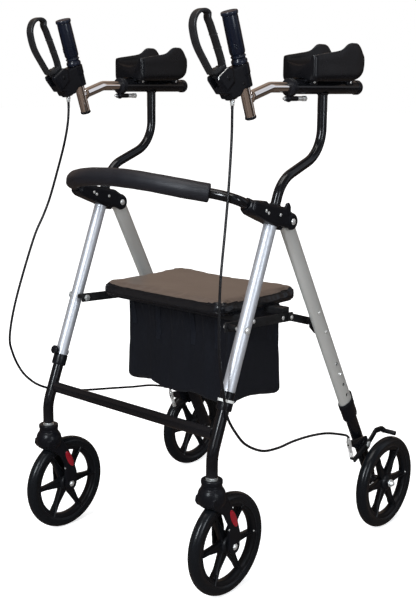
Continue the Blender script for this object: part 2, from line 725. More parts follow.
for side, sign in SIDES:
    points = [Vector((sign * p[0], p[1], p[2])) for p in CABLE_ROUTES[side]]
    route = through(points, 121)
    cuts = [
        0, first_after(route, lambda p: p.z < 0.80), first_after(route, lambda p: p.z < 0.62),
        first_after(route, lambda p: p.y > 0.045), len(route) - 1,
    ]
    loop_start = first_after(route, lambda p: p.z < 0.33)
    for i, (start, end) in enumerate(zip(cuts, cuts[1:])):
        stretch = route[start : end + 1]
        name = f"brake_cable_{side}_{i + 1}"
        cable = piece(
            name, sweep(stretch, CABLE_WIDTH, sides=20), None, "cable sheath", [f"brake_cable_{side}"],
        )
        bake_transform(cable)
    print("cable", side, round(run_length(route), 3), "m in", len(cuts) - 1, "stretches")


# %% [markdown]
# Mouldings have no sharp inner corner either. A voxel remesh melts overlapping parts into one skin,
# and a smoothing pass leaves a small fillet wherever they meet. Rivets, screws and bosses are low
# domes set on a face.

# %% Melting parts together, and domes


def melted(bm, voxel=0.0010, passes=6):
    """Overlapping parts as one smooth moulding."""
    body = loose_object(bm)
    melt = body.modifiers.new("melt", "REMESH")
    melt.mode, melt.voxel_size = "VOXEL", voxel
    soften = body.modifiers.new("soften", "SMOOTH")
    soften.factor, soften.iterations = 0.5, passes
    graph = bpy.context.evaluated_depsgraph_get()
    result = bmesh.new()
    result.from_object(body, graph)
    mesh = body.data
    bpy.data.objects.remove(body, do_unlink=True)
    bpy.data.meshes.remove(mesh)
    return result


def dome(point, outwards, radius, height, long=None, side=UP, steps=24):
    """A low domed head on a face; long makes it an oval along side."""
    profile = [(0.0, -0.3 * height)] + [(1.0, -0.3 * height)] + [
        (math.cos(math.radians(turn)), math.sin(math.radians(turn)) * height) for turn in range(0, 91, 15)
    ]
    place = facing(Vector(point), Vector(outwards), side)
    scale = Matrix.Diagonal((long or radius, radius, 1.0, 1.0))
    return lathe(profile, place @ scale, steps)


def nut(point, outwards, radius, height):
    """A hexagon nut or bolt head with its top corners turned off."""
    bm = bmesh.new()
    bmesh.ops.create_cone(bm, cap_ends=True, segments=6, radius1=radius, radius2=radius, depth=height)
    rounded(bm, height * 0.12, 2)
    bmesh.ops.translate(bm, vec=(0.0, 0.0, height / 2), verts=bm.verts)
    bmesh.ops.transform(bm, matrix=facing(Vector(point), Vector(outwards), UP), verts=bm.verts)
    return bm


# %% [markdown]
# Front and rear wheels are alike: a tyre with a rounded tread, a wide rim, and six spokes. Two ribs
# run along both faces of each spoke and out on to the rim, where they meet in a point.

# %% Wheels
TYRE_DEPTH, TYRE_HALF = 0.019, 0.0125
BEAD = WHEEL_RADIUS - TYRE_DEPTH
RIM_INNER, RIM_HALF = 0.0705, 0.0085
HUB_RADIUS, HUB_HALF = 0.017, 0.015
SPOKES, SPOKE_HALF = 6, 0.0045


def make_tyre(place):
    profile = [(BEAD - 0.001, RIM_HALF + 0.001), (BEAD + 0.001, RIM_HALF + 0.0022)]
    for i in range(17):
        turn = math.radians(78 - 156 * i / 16)
        height = TYRE_HALF * math.sin(turn) / math.sin(math.radians(78))
        profile.append((BEAD + 0.002 + (TYRE_DEPTH - 0.002) * math.cos(turn) ** 0.7, height))
    profile += [(BEAD + 0.001, -RIM_HALF - 0.0022), (BEAD - 0.001, -RIM_HALF - 0.001)]
    return lathe(profile, place, 96, ring=True)


def make_rim(place):
    inner, lip, half = RIM_INNER, BEAD - 0.0025, RIM_HALF
    profile = [
        (inner + 0.0016, -half + 0.0008), (inner + 0.003, -half), (lip, -half),
        (lip + 0.0006, -half - 0.0012),
        (BEAD + 0.0004, -half - 0.0014), (BEAD + 0.0008, half + 0.0014), (lip + 0.0006, half + 0.0012),
        (lip, half),
        (inner + 0.003, half), (inner + 0.0016, half - 0.0008), (inner, half * 0.5), (inner, -half * 0.5),
    ]
    return lathe(profile, place, 96, ring=True)


def make_spoke(turn):
    """One spoke up the Z axis, narrow in the middle, with a rib along each edge of both faces."""
    sides = []
    for i in range(42):
        radius = 0.012 + 0.0015 * i
        flare = max(0.0, (radius - 0.064) / 0.0095) ** 2.0
        root = (0.0735 - radius) / 0.0615
        sides.append((0.0036 + 0.0030 * flare + 0.0072 * root ** 1.3, radius))
    outline = [(-half, radius) for half, radius in sides] + [
        (half, radius) for half, radius in reversed(sides)
    ]
    spoke = rounded(plate(outline, 0.0, 2 * SPOKE_HALF), 0.0006, 2, 40)
    ribs = []
    for face in (-1, 1):
        x = face * SPOKE_HALF
        for edge in (-1, 1):
            route = [Vector((x, edge * 0.0082, 0.016)), Vector((x, edge * 0.0056, 0.034)),
                     Vector((x, edge * 0.0036, 0.052)), Vector((x + face * 0.0030, edge * 0.0018, 0.066)),
                     Vector((x + face * 0.0040, edge * 0.0003, 0.0805))]
            ribs.append(sweep(through(route, 14), 0.0034, 0.0017, sides=10))
    whole = together(spoke, *ribs)
    bmesh.ops.transform(whole, matrix=Matrix.Rotation(turn, 4, "X"), verts=whole.verts)
    return whole


def make_hub(place):
    profile = [
        (0.0042, -HUB_HALF), (0.0085, -HUB_HALF), (0.0092, -HUB_HALF + 0.0008), (0.0095, -HUB_HALF + 0.003),
        (0.0155, -HUB_HALF + 0.0042), (HUB_RADIUS, -HUB_HALF + 0.006), (HUB_RADIUS, HUB_HALF - 0.006),
        (0.0155, HUB_HALF - 0.0042), (0.0095, HUB_HALF - 0.003), (0.0092, HUB_HALF - 0.0008),
        (0.0085, HUB_HALF),
        (0.0042, HUB_HALF),
    ]
    return lathe(profile, place, 48, ring=True)


def make_wheels(name, centre, body_format):
    spin = facing(Vector((0, 0, 0)), LEFT, UP)
    turns = [2 * math.pi * i / SPOKES - math.pi / 2 for i in range(SPOKES)]
    core = together(make_rim(spin), make_hub(spin), *[make_spoke(turn) for turn in turns])
    tyre = make_tyre(spin)
    weight = dome((RIM_HALF + 0.0002, 0.0725, 0.0035), LEFT, 0.0017, 0.0008)
    for bm in (core, tyre, weight):
        bmesh.ops.translate(bm, vec=centre, verts=bm.verts)
    pair(f"{name}_tyre", tyre, body_format, "tyre rubber", name + "_{}", angle=50)
    pair(f"{name}_core", core, body_format, "wheel nylon", angle=40)
    pair(f"{name}_mark", weight, body_format, "pale clip")


make_wheels("front_wheel", FRONT_AXLE, "front_wheel_{}")
make_wheels("rear_wheel", REAR_AXLE, "rear_wheel_{}")

# %% [markdown]
# A caster fork is one black moulding. A bulbous head carries a ring with a step, and a cheek runs
# down each side of the wheel to the axle. Both cheeks carry an oval red reflector.

# %% Caster forks
FORK_Z = 2 * WHEEL_RADIUS + 0.004
FORK_RISE = 0.0365
CHEEK, CHEEK_IN = 0.0065, 0.0165
STEM = STEM_FOOT + UP * FORK_Z


def cheek_outline():
    """The side view of a fork cheek, from the head down to the axle, as (y, z) points."""
    stem, axle, top = STEM.y, FRONT_AXLE, FORK_Z
    front = [
        (stem - 0.019, top + 0.004), (stem - 0.0215, top - 0.006), (stem - 0.0165, top - 0.014),
        (stem - 0.004, top - 0.0225), (stem + 0.012, top - 0.034), (axle.y - 0.016, axle.z + 0.046),
        (axle.y - 0.0155, axle.z + 0.020),
    ]
    end = []
    for i in range(13):
        turn = math.radians(195 + 165 * i / 12)
        end.append((axle.y + 0.0145 * math.cos(turn), axle.z + 0.0145 * math.sin(turn)))
    back = [
        (axle.y + 0.0155, axle.z + 0.024), (axle.y + 0.006, axle.z + 0.056), (axle.y - 0.006, axle.z + 0.078),
        (stem + 0.022, top - 0.004), (stem + 0.014, top + 0.008),
    ]
    return front + end + back


def make_fork():
    head = lathe(
        [
            (0.0, FORK_RISE - 0.004), (0.0135, FORK_RISE - 0.004), (0.0138, FORK_RISE), (0.0192, FORK_RISE),
            (0.0204, FORK_RISE - 0.0016), (0.0204, FORK_RISE - 0.0080), (0.0188, FORK_RISE - 0.0096),
            (0.0188, FORK_RISE - 0.0112), (0.0197, FORK_RISE - 0.0120), (0.0197, FORK_RISE - 0.0140),
            (0.0190, FORK_RISE - 0.0152), (0.0222, FORK_RISE - 0.0185), (0.0250, FORK_RISE - 0.0235),
            (0.0264, 0.0070), (0.0268, 0.0010), (0.0262, -0.0060), (0.0235, -0.0125), (0.018, -0.0165),
            (0.0, -0.018),
        ],
        Matrix.Translation(STEM), 64,
    )
    cheeks = [plate(cheek_outline(), STEM.x + sign * (CHEEK_IN + CHEEK / 2), CHEEK) for sign in (-1, 1)]
    bridge = rounded(
        box(
            (STEM.x - 0.021, STEM.y - 0.006, FORK_Z - 0.012),
            (STEM.x + 0.021, STEM.y + 0.018, FORK_Z + 0.002),
        ), 0.003,
    )
    bosses = [across(FRONT_AXLE, STEM.x + s * 0.0155, STEM.x + s * 0.0232, 0.023, 40) for s in (-1, 1)]
    solid = melted(together(head, *cheeks, bridge, *bosses), 0.0010, 10)
    room = across(FRONT_AXLE, STEM.x - 0.0160, STEM.x + 0.0160, 0.2085, 96)
    return carved(solid, room)


pair("fork", make_fork(), "caster_{}", "black moulding", "caster_fork_{}", angle=45)
reflectors, bezels, screws, axles = [], [], [], []
tilt = Vector((0.0, 0.0194, -0.0399)).normalized()
for sign in (-1, 1):
    face = STEM.x + sign * (CHEEK_IN + CHEEK)
    spot = Vector((face, -0.2385, 0.158))
    reflectors.append(dome(spot + LEFT * sign * 0.0002, LEFT * sign, 0.0071, 0.0016, 0.0205, tilt, 48))
    bezels.append(dome(spot - LEFT * sign * 0.0006, LEFT * sign, 0.0082, 0.0010, 0.0218, tilt, 48))
    screws.append(dome((face, -0.2513, 0.1393), LEFT * sign, 0.0018, 0.0009))
    axles.append(dome((face, FRONT_AXLE.y, FRONT_AXLE.z), LEFT * sign, 0.0052, 0.0038))
    axles.append(nut((face - sign * 0.0004, FRONT_AXLE.y, FRONT_AXLE.z), LEFT * sign, 0.0066, 0.0014))
axles.append(across(FRONT_AXLE, STEM.x - 0.018, STEM.x + 0.018, 0.0078, 20))
pair("reflector", together(*reflectors), "caster_{}", "reflector red")
pair("reflector_seat", together(*bezels), "caster_{}", "black moulding")
pair("fork_screw", together(*screws), "caster_{}", "bright zinc")
pair("front_axle_bolt", together(*axles), "caster_{}", "bright zinc", "front_axle_{}")

# %% [markdown]
# The black lower tube comes out of the silver front leg, bends to the vertical at the knee and ends
# on the caster stem. A flat oval crossbar joins the two tubes, and a small tab stands behind each.

# %% Lower front tubes and crossbar
STEM_TOP = FORK_Z + 0.0405
lower_route = bent([on_leg(0.199), KNEE, STEM_FOOT + UP * STEM_TOP], 0.090, 20)
foot_ring = lathe(
    [
        (0.0, STEM_TOP), (0.0095, STEM_TOP - 0.0006), (0.0112, STEM_TOP + 0.0006),
        (0.0112, STEM_TOP + 0.004), (0.0, STEM_TOP + 0.004),
    ], Matrix.Translation(STEM_FOOT),
)
tab = rounded(box((0.2285, STEM.y + 0.006, 0.3125), (0.2315, STEM.y + 0.024, 0.3175)), 0.0008)
pair(
    "lower_tube", together(sweep(lower_route, LOWER_TUBE, sides=40), foot_ring, tab), "lower_front",
    "gloss black paint", "lower_front_tube_{}",
)
spacer = lathe(
    [
        (0.0, FORK_Z + FORK_RISE - 0.003), (0.0115, FORK_Z + FORK_RISE - 0.003),
        (0.0115, FORK_Z + FORK_RISE + 0.0006), (0.0078, FORK_Z + FORK_RISE + 0.0012),
        (0.0078, STEM_TOP + 0.001), (0.0, STEM_TOP + 0.001),
    ], Matrix.Translation(STEM_FOOT), 32,
)
pair("stem_spacer", spacer, "lower_front", "bright zinc")
CROSSBAR = on_leg(0.035 / math.cos(FRONT_LEAN))
bar = sweep(
    [Vector((x, CROSSBAR.y, CROSSBAR.z)) for x in (-0.224, -0.07, 0.07, 0.224)], 0.023, 0.014, sides=48,
    side=UP,
)
welds = [
    lathe(
        [(0.0125, -0.0012), (0.0128, 0.0), (0.0108, 0.0018)],
        facing(
            Vector((sign * 0.2195, CROSSBAR.y, CROSSBAR.z)), LEFT * -sign, UP
        ) @ Matrix.Diagonal((1.0, 0.66, 1.0, 1.0)), 32,
    )
    for sign in (-1, 1)
]
piece("crossbar_oval", together(bar, *welds), "lower_front", "gloss black paint", ["crossbar"])

# %% [markdown]
# The front leg is a bright tube with a stepped black collar at its foot. A pale band holds the brake
# cable to the left collar, which has a black sleeve above it. The fluted knob on the right leg locks
# the height.

# %% Front legs, collars, band and knob
leg = sweep(
    [on_leg(LEG_FOOT - 0.002), on_leg(0.25), on_leg(0.35), on_leg(LEG_TOP - 0.002)], WIDE_TUBE,
    sides=48,
)
pair("leg_tube", leg, "front_frame", "bright silver", "front_leg_{}")
collar = lathe(
    [
        (0.0112, -0.0180), (0.0130, -0.0180), (0.0143, -0.0172), (0.0147, -0.0150), (0.0147, 0.0030),
        (0.0144, 0.0042), (0.0138, 0.0050), (0.0129, 0.0050), (0.0126, -0.0010),
    ], facing(on_leg(LEG_FOOT), LEG_UP), 56, ring=True,
)
pair("leg_collar", collar, "front_frame", "black moulding", "front_collar_{}", angle=40)
sleeve = lathe(
    [
        (0.0127, 0.0030), (0.0139, 0.0030), (0.0136, 0.0050), (0.0136, 0.0150), (0.0142, 0.0156),
        (0.0142, 0.0164), (0.0138, 0.0172), (0.0129, 0.0174),
    ], facing(on_leg(LEG_FOOT), LEG_UP), 56, ring=True,
)
piece("left_leg_sleeve", sleeve, "front_frame", "black moulding", angle=40)
band_place = facing(on_leg(LEG_FOOT + 0.0002), LEG_UP)
band = lathe(
    [(0.0140, -0.0026), (0.0153, -0.0024), (0.0155, 0.0), (0.0153, 0.0024), (0.0140, 0.0026)],
    band_place, 56, ring=True,
)
out = (CLIP - COLLAR_MIDDLE).normalized()
stalk = rod(COLLAR_MIDDLE + out * 0.0135, CLIP - out * 0.0026, 0.0030, 12)
clip = together(band, stalk)
piece("cable_band", clip, "front_frame", "pale clip", ["cable_clip"])
KNOB_UP = LEG_FOOT + 0.011
knob_place = Matrix.Scale(-1.0, 4, LEFT) @ facing(on_leg(KNOB_UP, -0.0130), -LEG_BACK)
knob = lathe(
    [
        (0.0, 0.0), (0.0050, 0.0), (0.0055, 0.0025), (0.0084, 0.0035), (0.0090, 0.0048),
        (0.0090, 0.0098), (0.0081, 0.0110), (0.0040, 0.0114), (0.0036, 0.0106), (0.0, 0.0104),
    ], steps=96,
)
for vert in knob.verts:
    if vert.co.z > 0.003:
        turn = math.atan2(vert.co.y, vert.co.x)
        dip = 1.0 - 0.085 * max(0.0, math.cos(8 * turn)) ** 2
        vert.co.x, vert.co.y = vert.co.x * dip, vert.co.y * dip
bmesh.ops.transform(knob, matrix=knob_place, verts=knob.verts)
piece("height_knob", knob, "leg_knob", "black moulding", ["leg_knob"], angle=50)
far_place = Matrix.Scale(-1.0, 4, LEFT) @ facing(on_leg(KNOB_UP, 0.0124), LEG_BACK)
piece(
    "knob_washer",
    lathe(
        [(0.0, -0.002), (0.0068, -0.002), (0.0068, 0.0016), (0.0058, 0.0024), (0.0, 0.0024)], far_place,
        32,
    ), "front_frame", "black moulding",
)
piece(
    "knob_bolt",
    lathe(
        [(0.0, 0.002), (0.0036, 0.002), (0.0036, 0.0042), (0.0026, 0.0056), (0.0, 0.0060)], far_place,
        32,
    ), "front_frame", "bright zinc",
)
print("front half made")


# %% [markdown]
# The top bracket is a moulded block that holds everything together: front leg from below, arm post
# from above, backrest bar from the front, and the rear leg's pivot in a round lobe behind. Its
# outline is drawn along the leg, then the bores and the slot for the rear leg are carved.

# %% Top brackets
BRACKET_HALF, CHEEK_WALL = 0.0175, 0.0045
BRACKET_LOW, BRACKET_HIGH, BRACKET_FRONT = PIVOT_UP - 0.021, PIVOT_UP + 0.014, -0.077
LOBE = 0.0165
FOLDED = math.radians(-26.0)


def leg_outline(pairs):
    """Turns (back, up) pairs along the leg into (y, z) points."""
    points = [on_leg(up, back) for back, up in pairs]
    return [(point.y, point.z) for point in points]


def bar_in_bracket(back):
    return on_leg((BRACKET_LOW + BRACKET_HIGH) / 2, back, -0.003)


def make_bracket():
    pairs = [(BRACKET_FRONT, BRACKET_LOW + 0.006), (BRACKET_FRONT + 0.012, BRACKET_LOW + 0.001),
             (-0.030, BRACKET_LOW), (-0.010, BRACKET_LOW), (PIVOT_BACK * 0.4, BRACKET_LOW + 0.004)]
    for i in range(15):
        turn = math.radians(-110 + 215 * i / 14)
        pairs.append((PIVOT_BACK + LOBE * math.cos(turn), PIVOT_UP + LOBE * math.sin(turn)))
    pairs += [(0.016, BRACKET_HIGH + 0.006), (-0.006, BRACKET_HIGH + 0.002), (-0.022, BRACKET_HIGH),
              (-0.050, BRACKET_HIGH - 0.005), (BRACKET_FRONT + 0.002, BRACKET_HIGH - 0.007),
              (BRACKET_FRONT - 0.001, BRACKET_HIGH - 0.014)]
    body = rounded(plate(leg_outline(pairs), KNEE.x, 2 * BRACKET_HALF), 0.0045, 3, 60)
    mouth = sweep(
        [bar_in_bracket(BRACKET_FRONT - 0.002), bar_in_bracket(BRACKET_FRONT + 0.012)], 0.0245, 0.0235,
        sides=40, side=UP,
    )
    saddle = rounded(
        plate(
            leg_outline([
                (-0.054, BRACKET_HIGH - 0.010), (-0.058, BRACKET_HIGH - 0.004),
                (-0.040, BRACKET_HIGH + 0.001), (-0.030, BRACKET_HIGH - 0.004),
            ]), KNEE.x, 0.026,
        ), 0.002, 2,
    )
    boot = sweep([on_leg(BRACKET_LOW - 0.0005), on_leg(BRACKET_LOW + 0.02)], 0.0325, sides=40)
    boss = across(on_leg(BRACKET_LOW + 0.0015, 0.019), KNEE.x - 0.012, KNEE.x + 0.012, 0.009, 32)
    neck = sweep(
        [on_leg(BRACKET_HIGH - 0.012), on_leg(LEG_TOP + 0.0155)], 0.0270, sides=40,
        swell=lambda t: 1.0 - 0.12 * t,
    )
    eye = across(PIVOT, KNEE.x - BRACKET_HALF - 0.0005, KNEE.x + BRACKET_HALF + 0.0008, 0.0262, 48)
    hook = plate(
        leg_outline([(0.012, PIVOT_UP + 0.006), (0.030, PIVOT_UP + 0.014), (0.026, PIVOT_UP + 0.024),
                     (0.018, PIVOT_UP + 0.030), (0.012, PIVOT_UP + 0.026)]),
        KNEE.x + BRACKET_HALF - 0.0022, CHEEK_WALL,
    )
    solid = melted(together(body, mouth, saddle, boot, boss, neck, eye, hook), 0.0011, 5)
    inner, room = BRACKET_HALF - CHEEK_WALL, 0.019
    tools = [
        sweep([on_leg(LEG_FOOT), on_leg(LEG_TOP)], 0.0260, sides=40),
        sweep([on_leg(LEG_TOP - 0.01), on_leg(LEG_TOP + 0.1)], 0.0197, sides=40),
        sweep(
            [bar_in_bracket(BRACKET_FRONT - 0.03), bar_in_bracket(BRACKET_FRONT + 0.0372)], 0.0197,
            sides=40, side=UP,
        ),
        across(PIVOT, KNEE.x - inner, KNEE.x + inner, 2 * room, 64),
    ]
    for turn in (0.0, FOLDED):
        way = Matrix.Rotation(turn, 3, LEFT) @ Vector((0.0, REAR_DOWN.y, REAR_DOWN.z))
        aside = Vector((0.0, -way.z, way.y)) * room
        ends = [PIVOT + aside, PIVOT - aside, PIVOT - aside + way * 0.06, PIVOT + aside + way * 0.06]
        tools.append(plate([(p.y, p.z) for p in ends], KNEE.x, 2 * inner))
    return carved(solid, *tools)


pair("bracket_body", make_bracket(), "front_frame", "black moulding", "top_bracket_{}", angle=45)
FACE = KNEE.x + BRACKET_HALF
heads = [
    dome(PIVOT + LEFT * (FACE + 0.0008 - PIVOT.x), LEFT, 0.0062, 0.0024),
    across(PIVOT, KNEE.x - BRACKET_HALF - 0.0006, FACE, 0.0078, 24),
    dome(PIVOT - LEFT * (PIVOT.x - KNEE.x + BRACKET_HALF + 0.0006), -LEFT, 0.0062, 0.0018),
]
pair("bracket_pivot", together(*heads), "front_frame", "bright zinc")
clamps = []
for back, up in ((-0.0425, -0.0035), (-0.0340, -0.0055), (0.0010, 0.0012)):
    for aside in (-1, 1):
        clamps.append(dome(
            on_leg(PIVOT_UP + up, back, aside * (BRACKET_HALF - 0.0002)), LEFT * aside, 0.0026, 0.0014
        ))
        clamps.append(across(
            on_leg(PIVOT_UP + up, back), KNEE.x + aside * 0.0165, KNEE.x + aside * 0.0177, 0.0064, 24
        ))
pair("bracket_screws", together(*clamps), "front_frame", "bright zinc")

# %% [markdown]
# Each rear leg is a flat oval tube in satin silver, with a row of height holes on its outer face.
# The black lower leg shows through the holes, except where the spring button fills one.

# %% Rear legs
REAR_WIDTH, REAR_DEPTH = 0.021, 0.036
HOLES = [REAR_LENGTH - 0.030 - 0.0278 * step for step in (3, 2, 1, 0)]
LINK_DOWN = 0.2435


def make_rear_leg():
    reach = REAR_DEPTH / 2
    places = [on_rear(down) for down in (0.0, 0.15, 0.30, REAR_LENGTH)]
    tube = sweep(places, REAR_WIDTH, REAR_DEPTH, sides=56)
    top = across(
        REAR_TOP, REAR_TOP.x - REAR_WIDTH * 0.42, REAR_TOP.x + REAR_WIDTH * 0.42, 2 * reach * 0.98, 64,
    )
    tools = []
    for down in HOLES:
        spot = on_rear(down)
        depth = 0.0095 if down == HOLES[1] else 0.0052
        tools.append(across(spot, spot.x + REAR_WIDTH / 2 - depth, spot.x + REAR_WIDTH, 0.0072, 32))
    return carved(together(tube), top, operation="UNION"), tools


tube, hole_tools = make_rear_leg()
pair("rear_tube", carved(tube, *hole_tools), "rear_frame", "satin silver", "rear_leg_{}")
rims, wells = [], []
for down in HOLES:
    spot = on_rear(down, 0.0, REAR_WIDTH / 2 - 0.0002)
    rims.append(lathe(
        [(0.0036, -0.0012), (0.0036, 0.0001), (0.0042, 0.0003), (0.0045, -0.0006)], facing(spot, LEFT),
        32,
    ))
    if down != HOLES[1]:
        wells.append(dome(on_rear(down, 0.0, REAR_WIDTH / 2 - 0.0042), LEFT, 0.0046, 0.0004))
pair("height_hole_rims", together(*rims), "rear_frame", "satin silver")
pair("height_hole_wells", together(*wells), "rear_frame", "satin black steel")
spot = on_rear(HOLES[1], 0.0, REAR_WIDTH / 2)
button = lathe(
    [
        (0.0, -0.0036), (0.0034, -0.0036), (0.0034, 0.0018), (0.0030, 0.0028), (0.0018, 0.0034),
        (0.0, 0.0036),
    ], facing(spot, LEFT), 32,
)
pair("spring_button", button, "height_button_{}", "bright zinc", "height_button_{}")
rivets = []
for y, z in ((0.030, 0.502), (0.054, 0.460)):
    down = (Vector((0.0, y, z)) - REAR_TOP).dot(Vector((0.0, REAR_DOWN.y, REAR_DOWN.z)).normalized())
    place = on_rear(down)
    rivets.append(dome((place.x + REAR_WIDTH / 2 - 0.0002, place.y, place.z), LEFT, 0.0040, 0.0018))
pair("rear_leg_rivets", together(*rivets), "rear_frame", "satin silver")
inner_face = on_rear(LINK_DOWN).x - REAR_WIDTH / 2
ear_points = [on_rear(LINK_DOWN + down, back) for down, back in (
    (-0.020, -0.010), (-0.020, 0.010), (0.022, 0.010), (0.022, -0.010), (0.0, -0.018))]
ear = rounded(plate([(p.y, p.z) for p in ear_points], inner_face - 0.0005, 0.005), 0.0008)
pair("link_ear", ear, "rear_frame", "satin black steel")

# %% Rear collars and lower rear legs
collar_top, collar_foot = REAR_LENGTH - 0.010, REAR_LENGTH + 0.034
sleeve = sweep(
    [
        on_rear(down)
        for down in (
            collar_top, collar_top + 0.0012, REAR_LENGTH + 0.004, REAR_LENGTH + 0.006,
            collar_foot - 0.003, collar_foot,
        )
    ], REAR_WIDTH + 0.0056, REAR_DEPTH + 0.0056, sides=64,
    swell=lambda t: (0.97, 1.0, 1.0, 0.965, 0.955, 0.90)[round(t * 5)],
)
back = REAR_DEPTH / 2
tongue_points = [on_rear(collar_top + 0.006, back - 0.002), on_rear(collar_top - 0.012, back + 0.0004),
                 on_rear(collar_top - 0.013, back + 0.0016), on_rear(collar_top - 0.008, back + 0.0026),
                 on_rear(collar_top + 0.006, back + 0.0028)]
tongue = rounded(plate([(p.y, p.z) for p in tongue_points], on_rear(REAR_LENGTH).x, 0.010), 0.0006)
bore = sweep(
    [on_rear(collar_top - 0.01), on_rear(REAR_LENGTH)], REAR_WIDTH + 0.0006, REAR_DEPTH + 0.0006,
    sides=64,
)
pair(
    "rear_sleeve", carved(welded(sleeve, tongue), bore), "rear_frame", "black moulding",
    "rear_collar_{}", angle=40,
)
LOWER_WIDTH, LOWER_DEPTH = REAR_WIDTH - 0.0042, REAR_DEPTH - 0.0042
lower = sweep(
    [on_rear(0.36), on_rear(0.47), on_rear(0.56), on_rear(AXLE_DOWN)], LOWER_WIDTH, LOWER_DEPTH,
    sides=56,
)
middle = on_rear(AXLE_DOWN).x
boss = rounded(
    across(REAR_AXLE, middle - LOWER_WIDTH / 2 - 0.0004, middle + LOWER_WIDTH / 2 + 0.0004, 0.032, 56),
    0.0016, 3, 60,
)
spacer = rounded(across(REAR_AXLE, middle, REAR_AXLE.x - HUB_HALF - 0.0006, 0.018, 40), 0.0010, 2, 60)
post = across(BRAKE_PIVOT, middle, BRAKE_X - 0.0043, 0.011, 24)
flange_points = [on_rear(0.553, 0.008), on_rear(0.585, 0.008), on_rear(0.585, -0.010)]
flange_outline = [(p.y, p.z) for p in flange_points] + [
    (STOP.y + 0.006, STOP.z - 0.006), (STOP.y - 0.006, STOP.z - 0.002), (STOP.y - 0.004, STOP.z + 0.008)]
flange = rounded(plate(flange_outline, BRAKE_X - 0.0043, 0.0040), 0.0008)
pair(
    "lower_rear_tube", together(lower, boss, spacer, post, flange), "lower_rear_{}",
    "gloss black paint", "lower_rear_leg_{}",
)
barrel = lathe(
    [
        (0.0030, -0.0070), (0.0046, -0.0070), (0.0050, -0.0064), (0.0050, -0.0016), (0.0041, -0.0010),
        (0.0041, 0.0010), (0.0050, 0.0016), (0.0050, 0.0072), (0.0044, 0.0090), (0.0030, 0.0090),
    ], facing(STOP, PULL), 40, ring=True,
)
for vert in barrel.verts:
    radial = vert.co - STOP
    radial -= PULL * radial.dot(PULL)
    if radial.length > 0.0048:
        turn = math.atan2(radial.x, radial.dot(PULL.cross(LEFT)))
        vert.co -= radial.normalized() * 0.0004 * (1 if math.cos(20 * turn) > 0 else 0)
ferrule = lathe(
    [
        (0.0, 0.0086), (0.0032, 0.0086), (0.0036, 0.0094), (0.0034, 0.0150), (0.0027, 0.0162),
        (0.0, 0.0162),
    ], facing(STOP, PULL), 32,
)
adjuster = lathe(
    [(0.0, -0.0205), (0.0022, -0.0205), (0.0022, -0.0066), (0.0, -0.0066)], facing(STOP, PULL), 20,
)
pair("cable_adjuster", together(barrel, adjuster), "lower_rear_{}", "bright zinc")
pair("cable_ferrule", ferrule, "lower_rear_{}", "bright zinc")

# %% [markdown]
# The brake arm is a bent flat bar. The cable pulls up its front end, it turns on its pivot, and the
# shoe at the back comes down on the tyre. A coil spring round the bare wire pushes it off again.

# %% Brake arms, springs and rear axle bolts
SHOE_TURN = math.radians(77.0)
SHOE = Vector((BRAKE_X, REAR_AXLE.y + 0.108 * math.cos(SHOE_TURN), REAR_AXLE.z + 0.108 * math.sin(SHOE_TURN)))
knee_point = Vector((BRAKE_X, BRAKE_PIVOT.y + 0.030, BRAKE_PIVOT.z + 0.023))
tip = Vector((BRAKE_X, SHOE.y - 0.010, SHOE.z + 0.007))
arm_route = bent(
    [BRAKE_END, Vector((BRAKE_X, BRAKE_PIVOT.y, BRAKE_PIVOT.z)), knee_point, tip, SHOE], 0.006, 6,
)
arm = rounded(sweep(arm_route, 0.0044, 0.0115, sides=4), 0.0007, 2, 50)
eye = rounded(across(BRAKE_PIVOT, BRAKE_X - 0.0021, BRAKE_X + 0.0021, 0.016, 40), 0.0005, 2, 60)
shoe = rounded(across(SHOE, BRAKE_X - 0.002, REAR_AXLE.x + 0.0078, 0.010, 32), 0.0010, 2, 60)
nipple = across(BRAKE_END + PULL * 0.004, STOP.x - 0.0030, BRAKE_X + 0.0028, 0.0064, 24)
pair("brake_bar", together(arm, eye, shoe, nipple), "brake_arm_{}", "satin black steel", "brake_arm_{}")
pin = together(dome(BRAKE_PIVOT + LEFT * (BRAKE_X + 0.0022 - BRAKE_PIVOT.x), LEFT, 0.0062, 0.0022),
               nut(BRAKE_PIVOT + LEFT * (BRAKE_X + 0.0018 - BRAKE_PIVOT.x), LEFT, 0.0072, 0.0016))
pair("brake_pin", pin, "brake_arm_{}", "bright zinc")
spring_start = Vector((STOP.x, BRAKE_END.y, BRAKE_END.z)) + PULL * 0.0065
spring_end = STOP - PULL * 0.0073
place = facing(spring_start, PULL)
coil_length, curls = (spring_end - spring_start).length, 7
coil = []
for i in range(curls * 20 + 1):
    turn, rise = 2 * math.pi * i / 20, 0.0006 + (coil_length - 0.0012) * i / (curls * 20)
    coil.append(place @ Vector((0.0040 * math.cos(turn), 0.0040 * math.sin(turn), rise)))
wire = rod(spring_start - PULL * 0.004, spring_end + PULL * 0.001, 0.0016, 10)
pair(
    "brake_coil", sweep(coil, 0.0011, sides=10, side=PULL), "lower_rear_{}", "bright zinc",
    "brake_spring_{}",
)
pair("brake_wire", wire, "lower_rear_{}", "bright zinc")
outer = REAR_AXLE.x + HUB_HALF
axle = together(
    across(REAR_AXLE, REAR_AXLE.x - HUB_HALF - 0.001, outer + 0.0085, 0.0080, 24),
    lathe(
        [(0.0, 0.0), (0.0085, 0.0), (0.0085, 0.0012), (0.0, 0.0012)],
        facing(REAR_AXLE + LEFT * (HUB_HALF + 0.0002), LEFT), 40,
    ),
    nut(REAR_AXLE + LEFT * (HUB_HALF + 0.0012), LEFT, 0.0075, 0.0052),
    dome(REAR_AXLE + LEFT * (HUB_HALF + 0.0064), LEFT, 0.0056, 0.0042),
    nut(REAR_AXLE - LEFT * (REAR_AXLE.x - middle + LOWER_WIDTH / 2 + 0.0002), -LEFT, 0.0078, 0.0046),
)
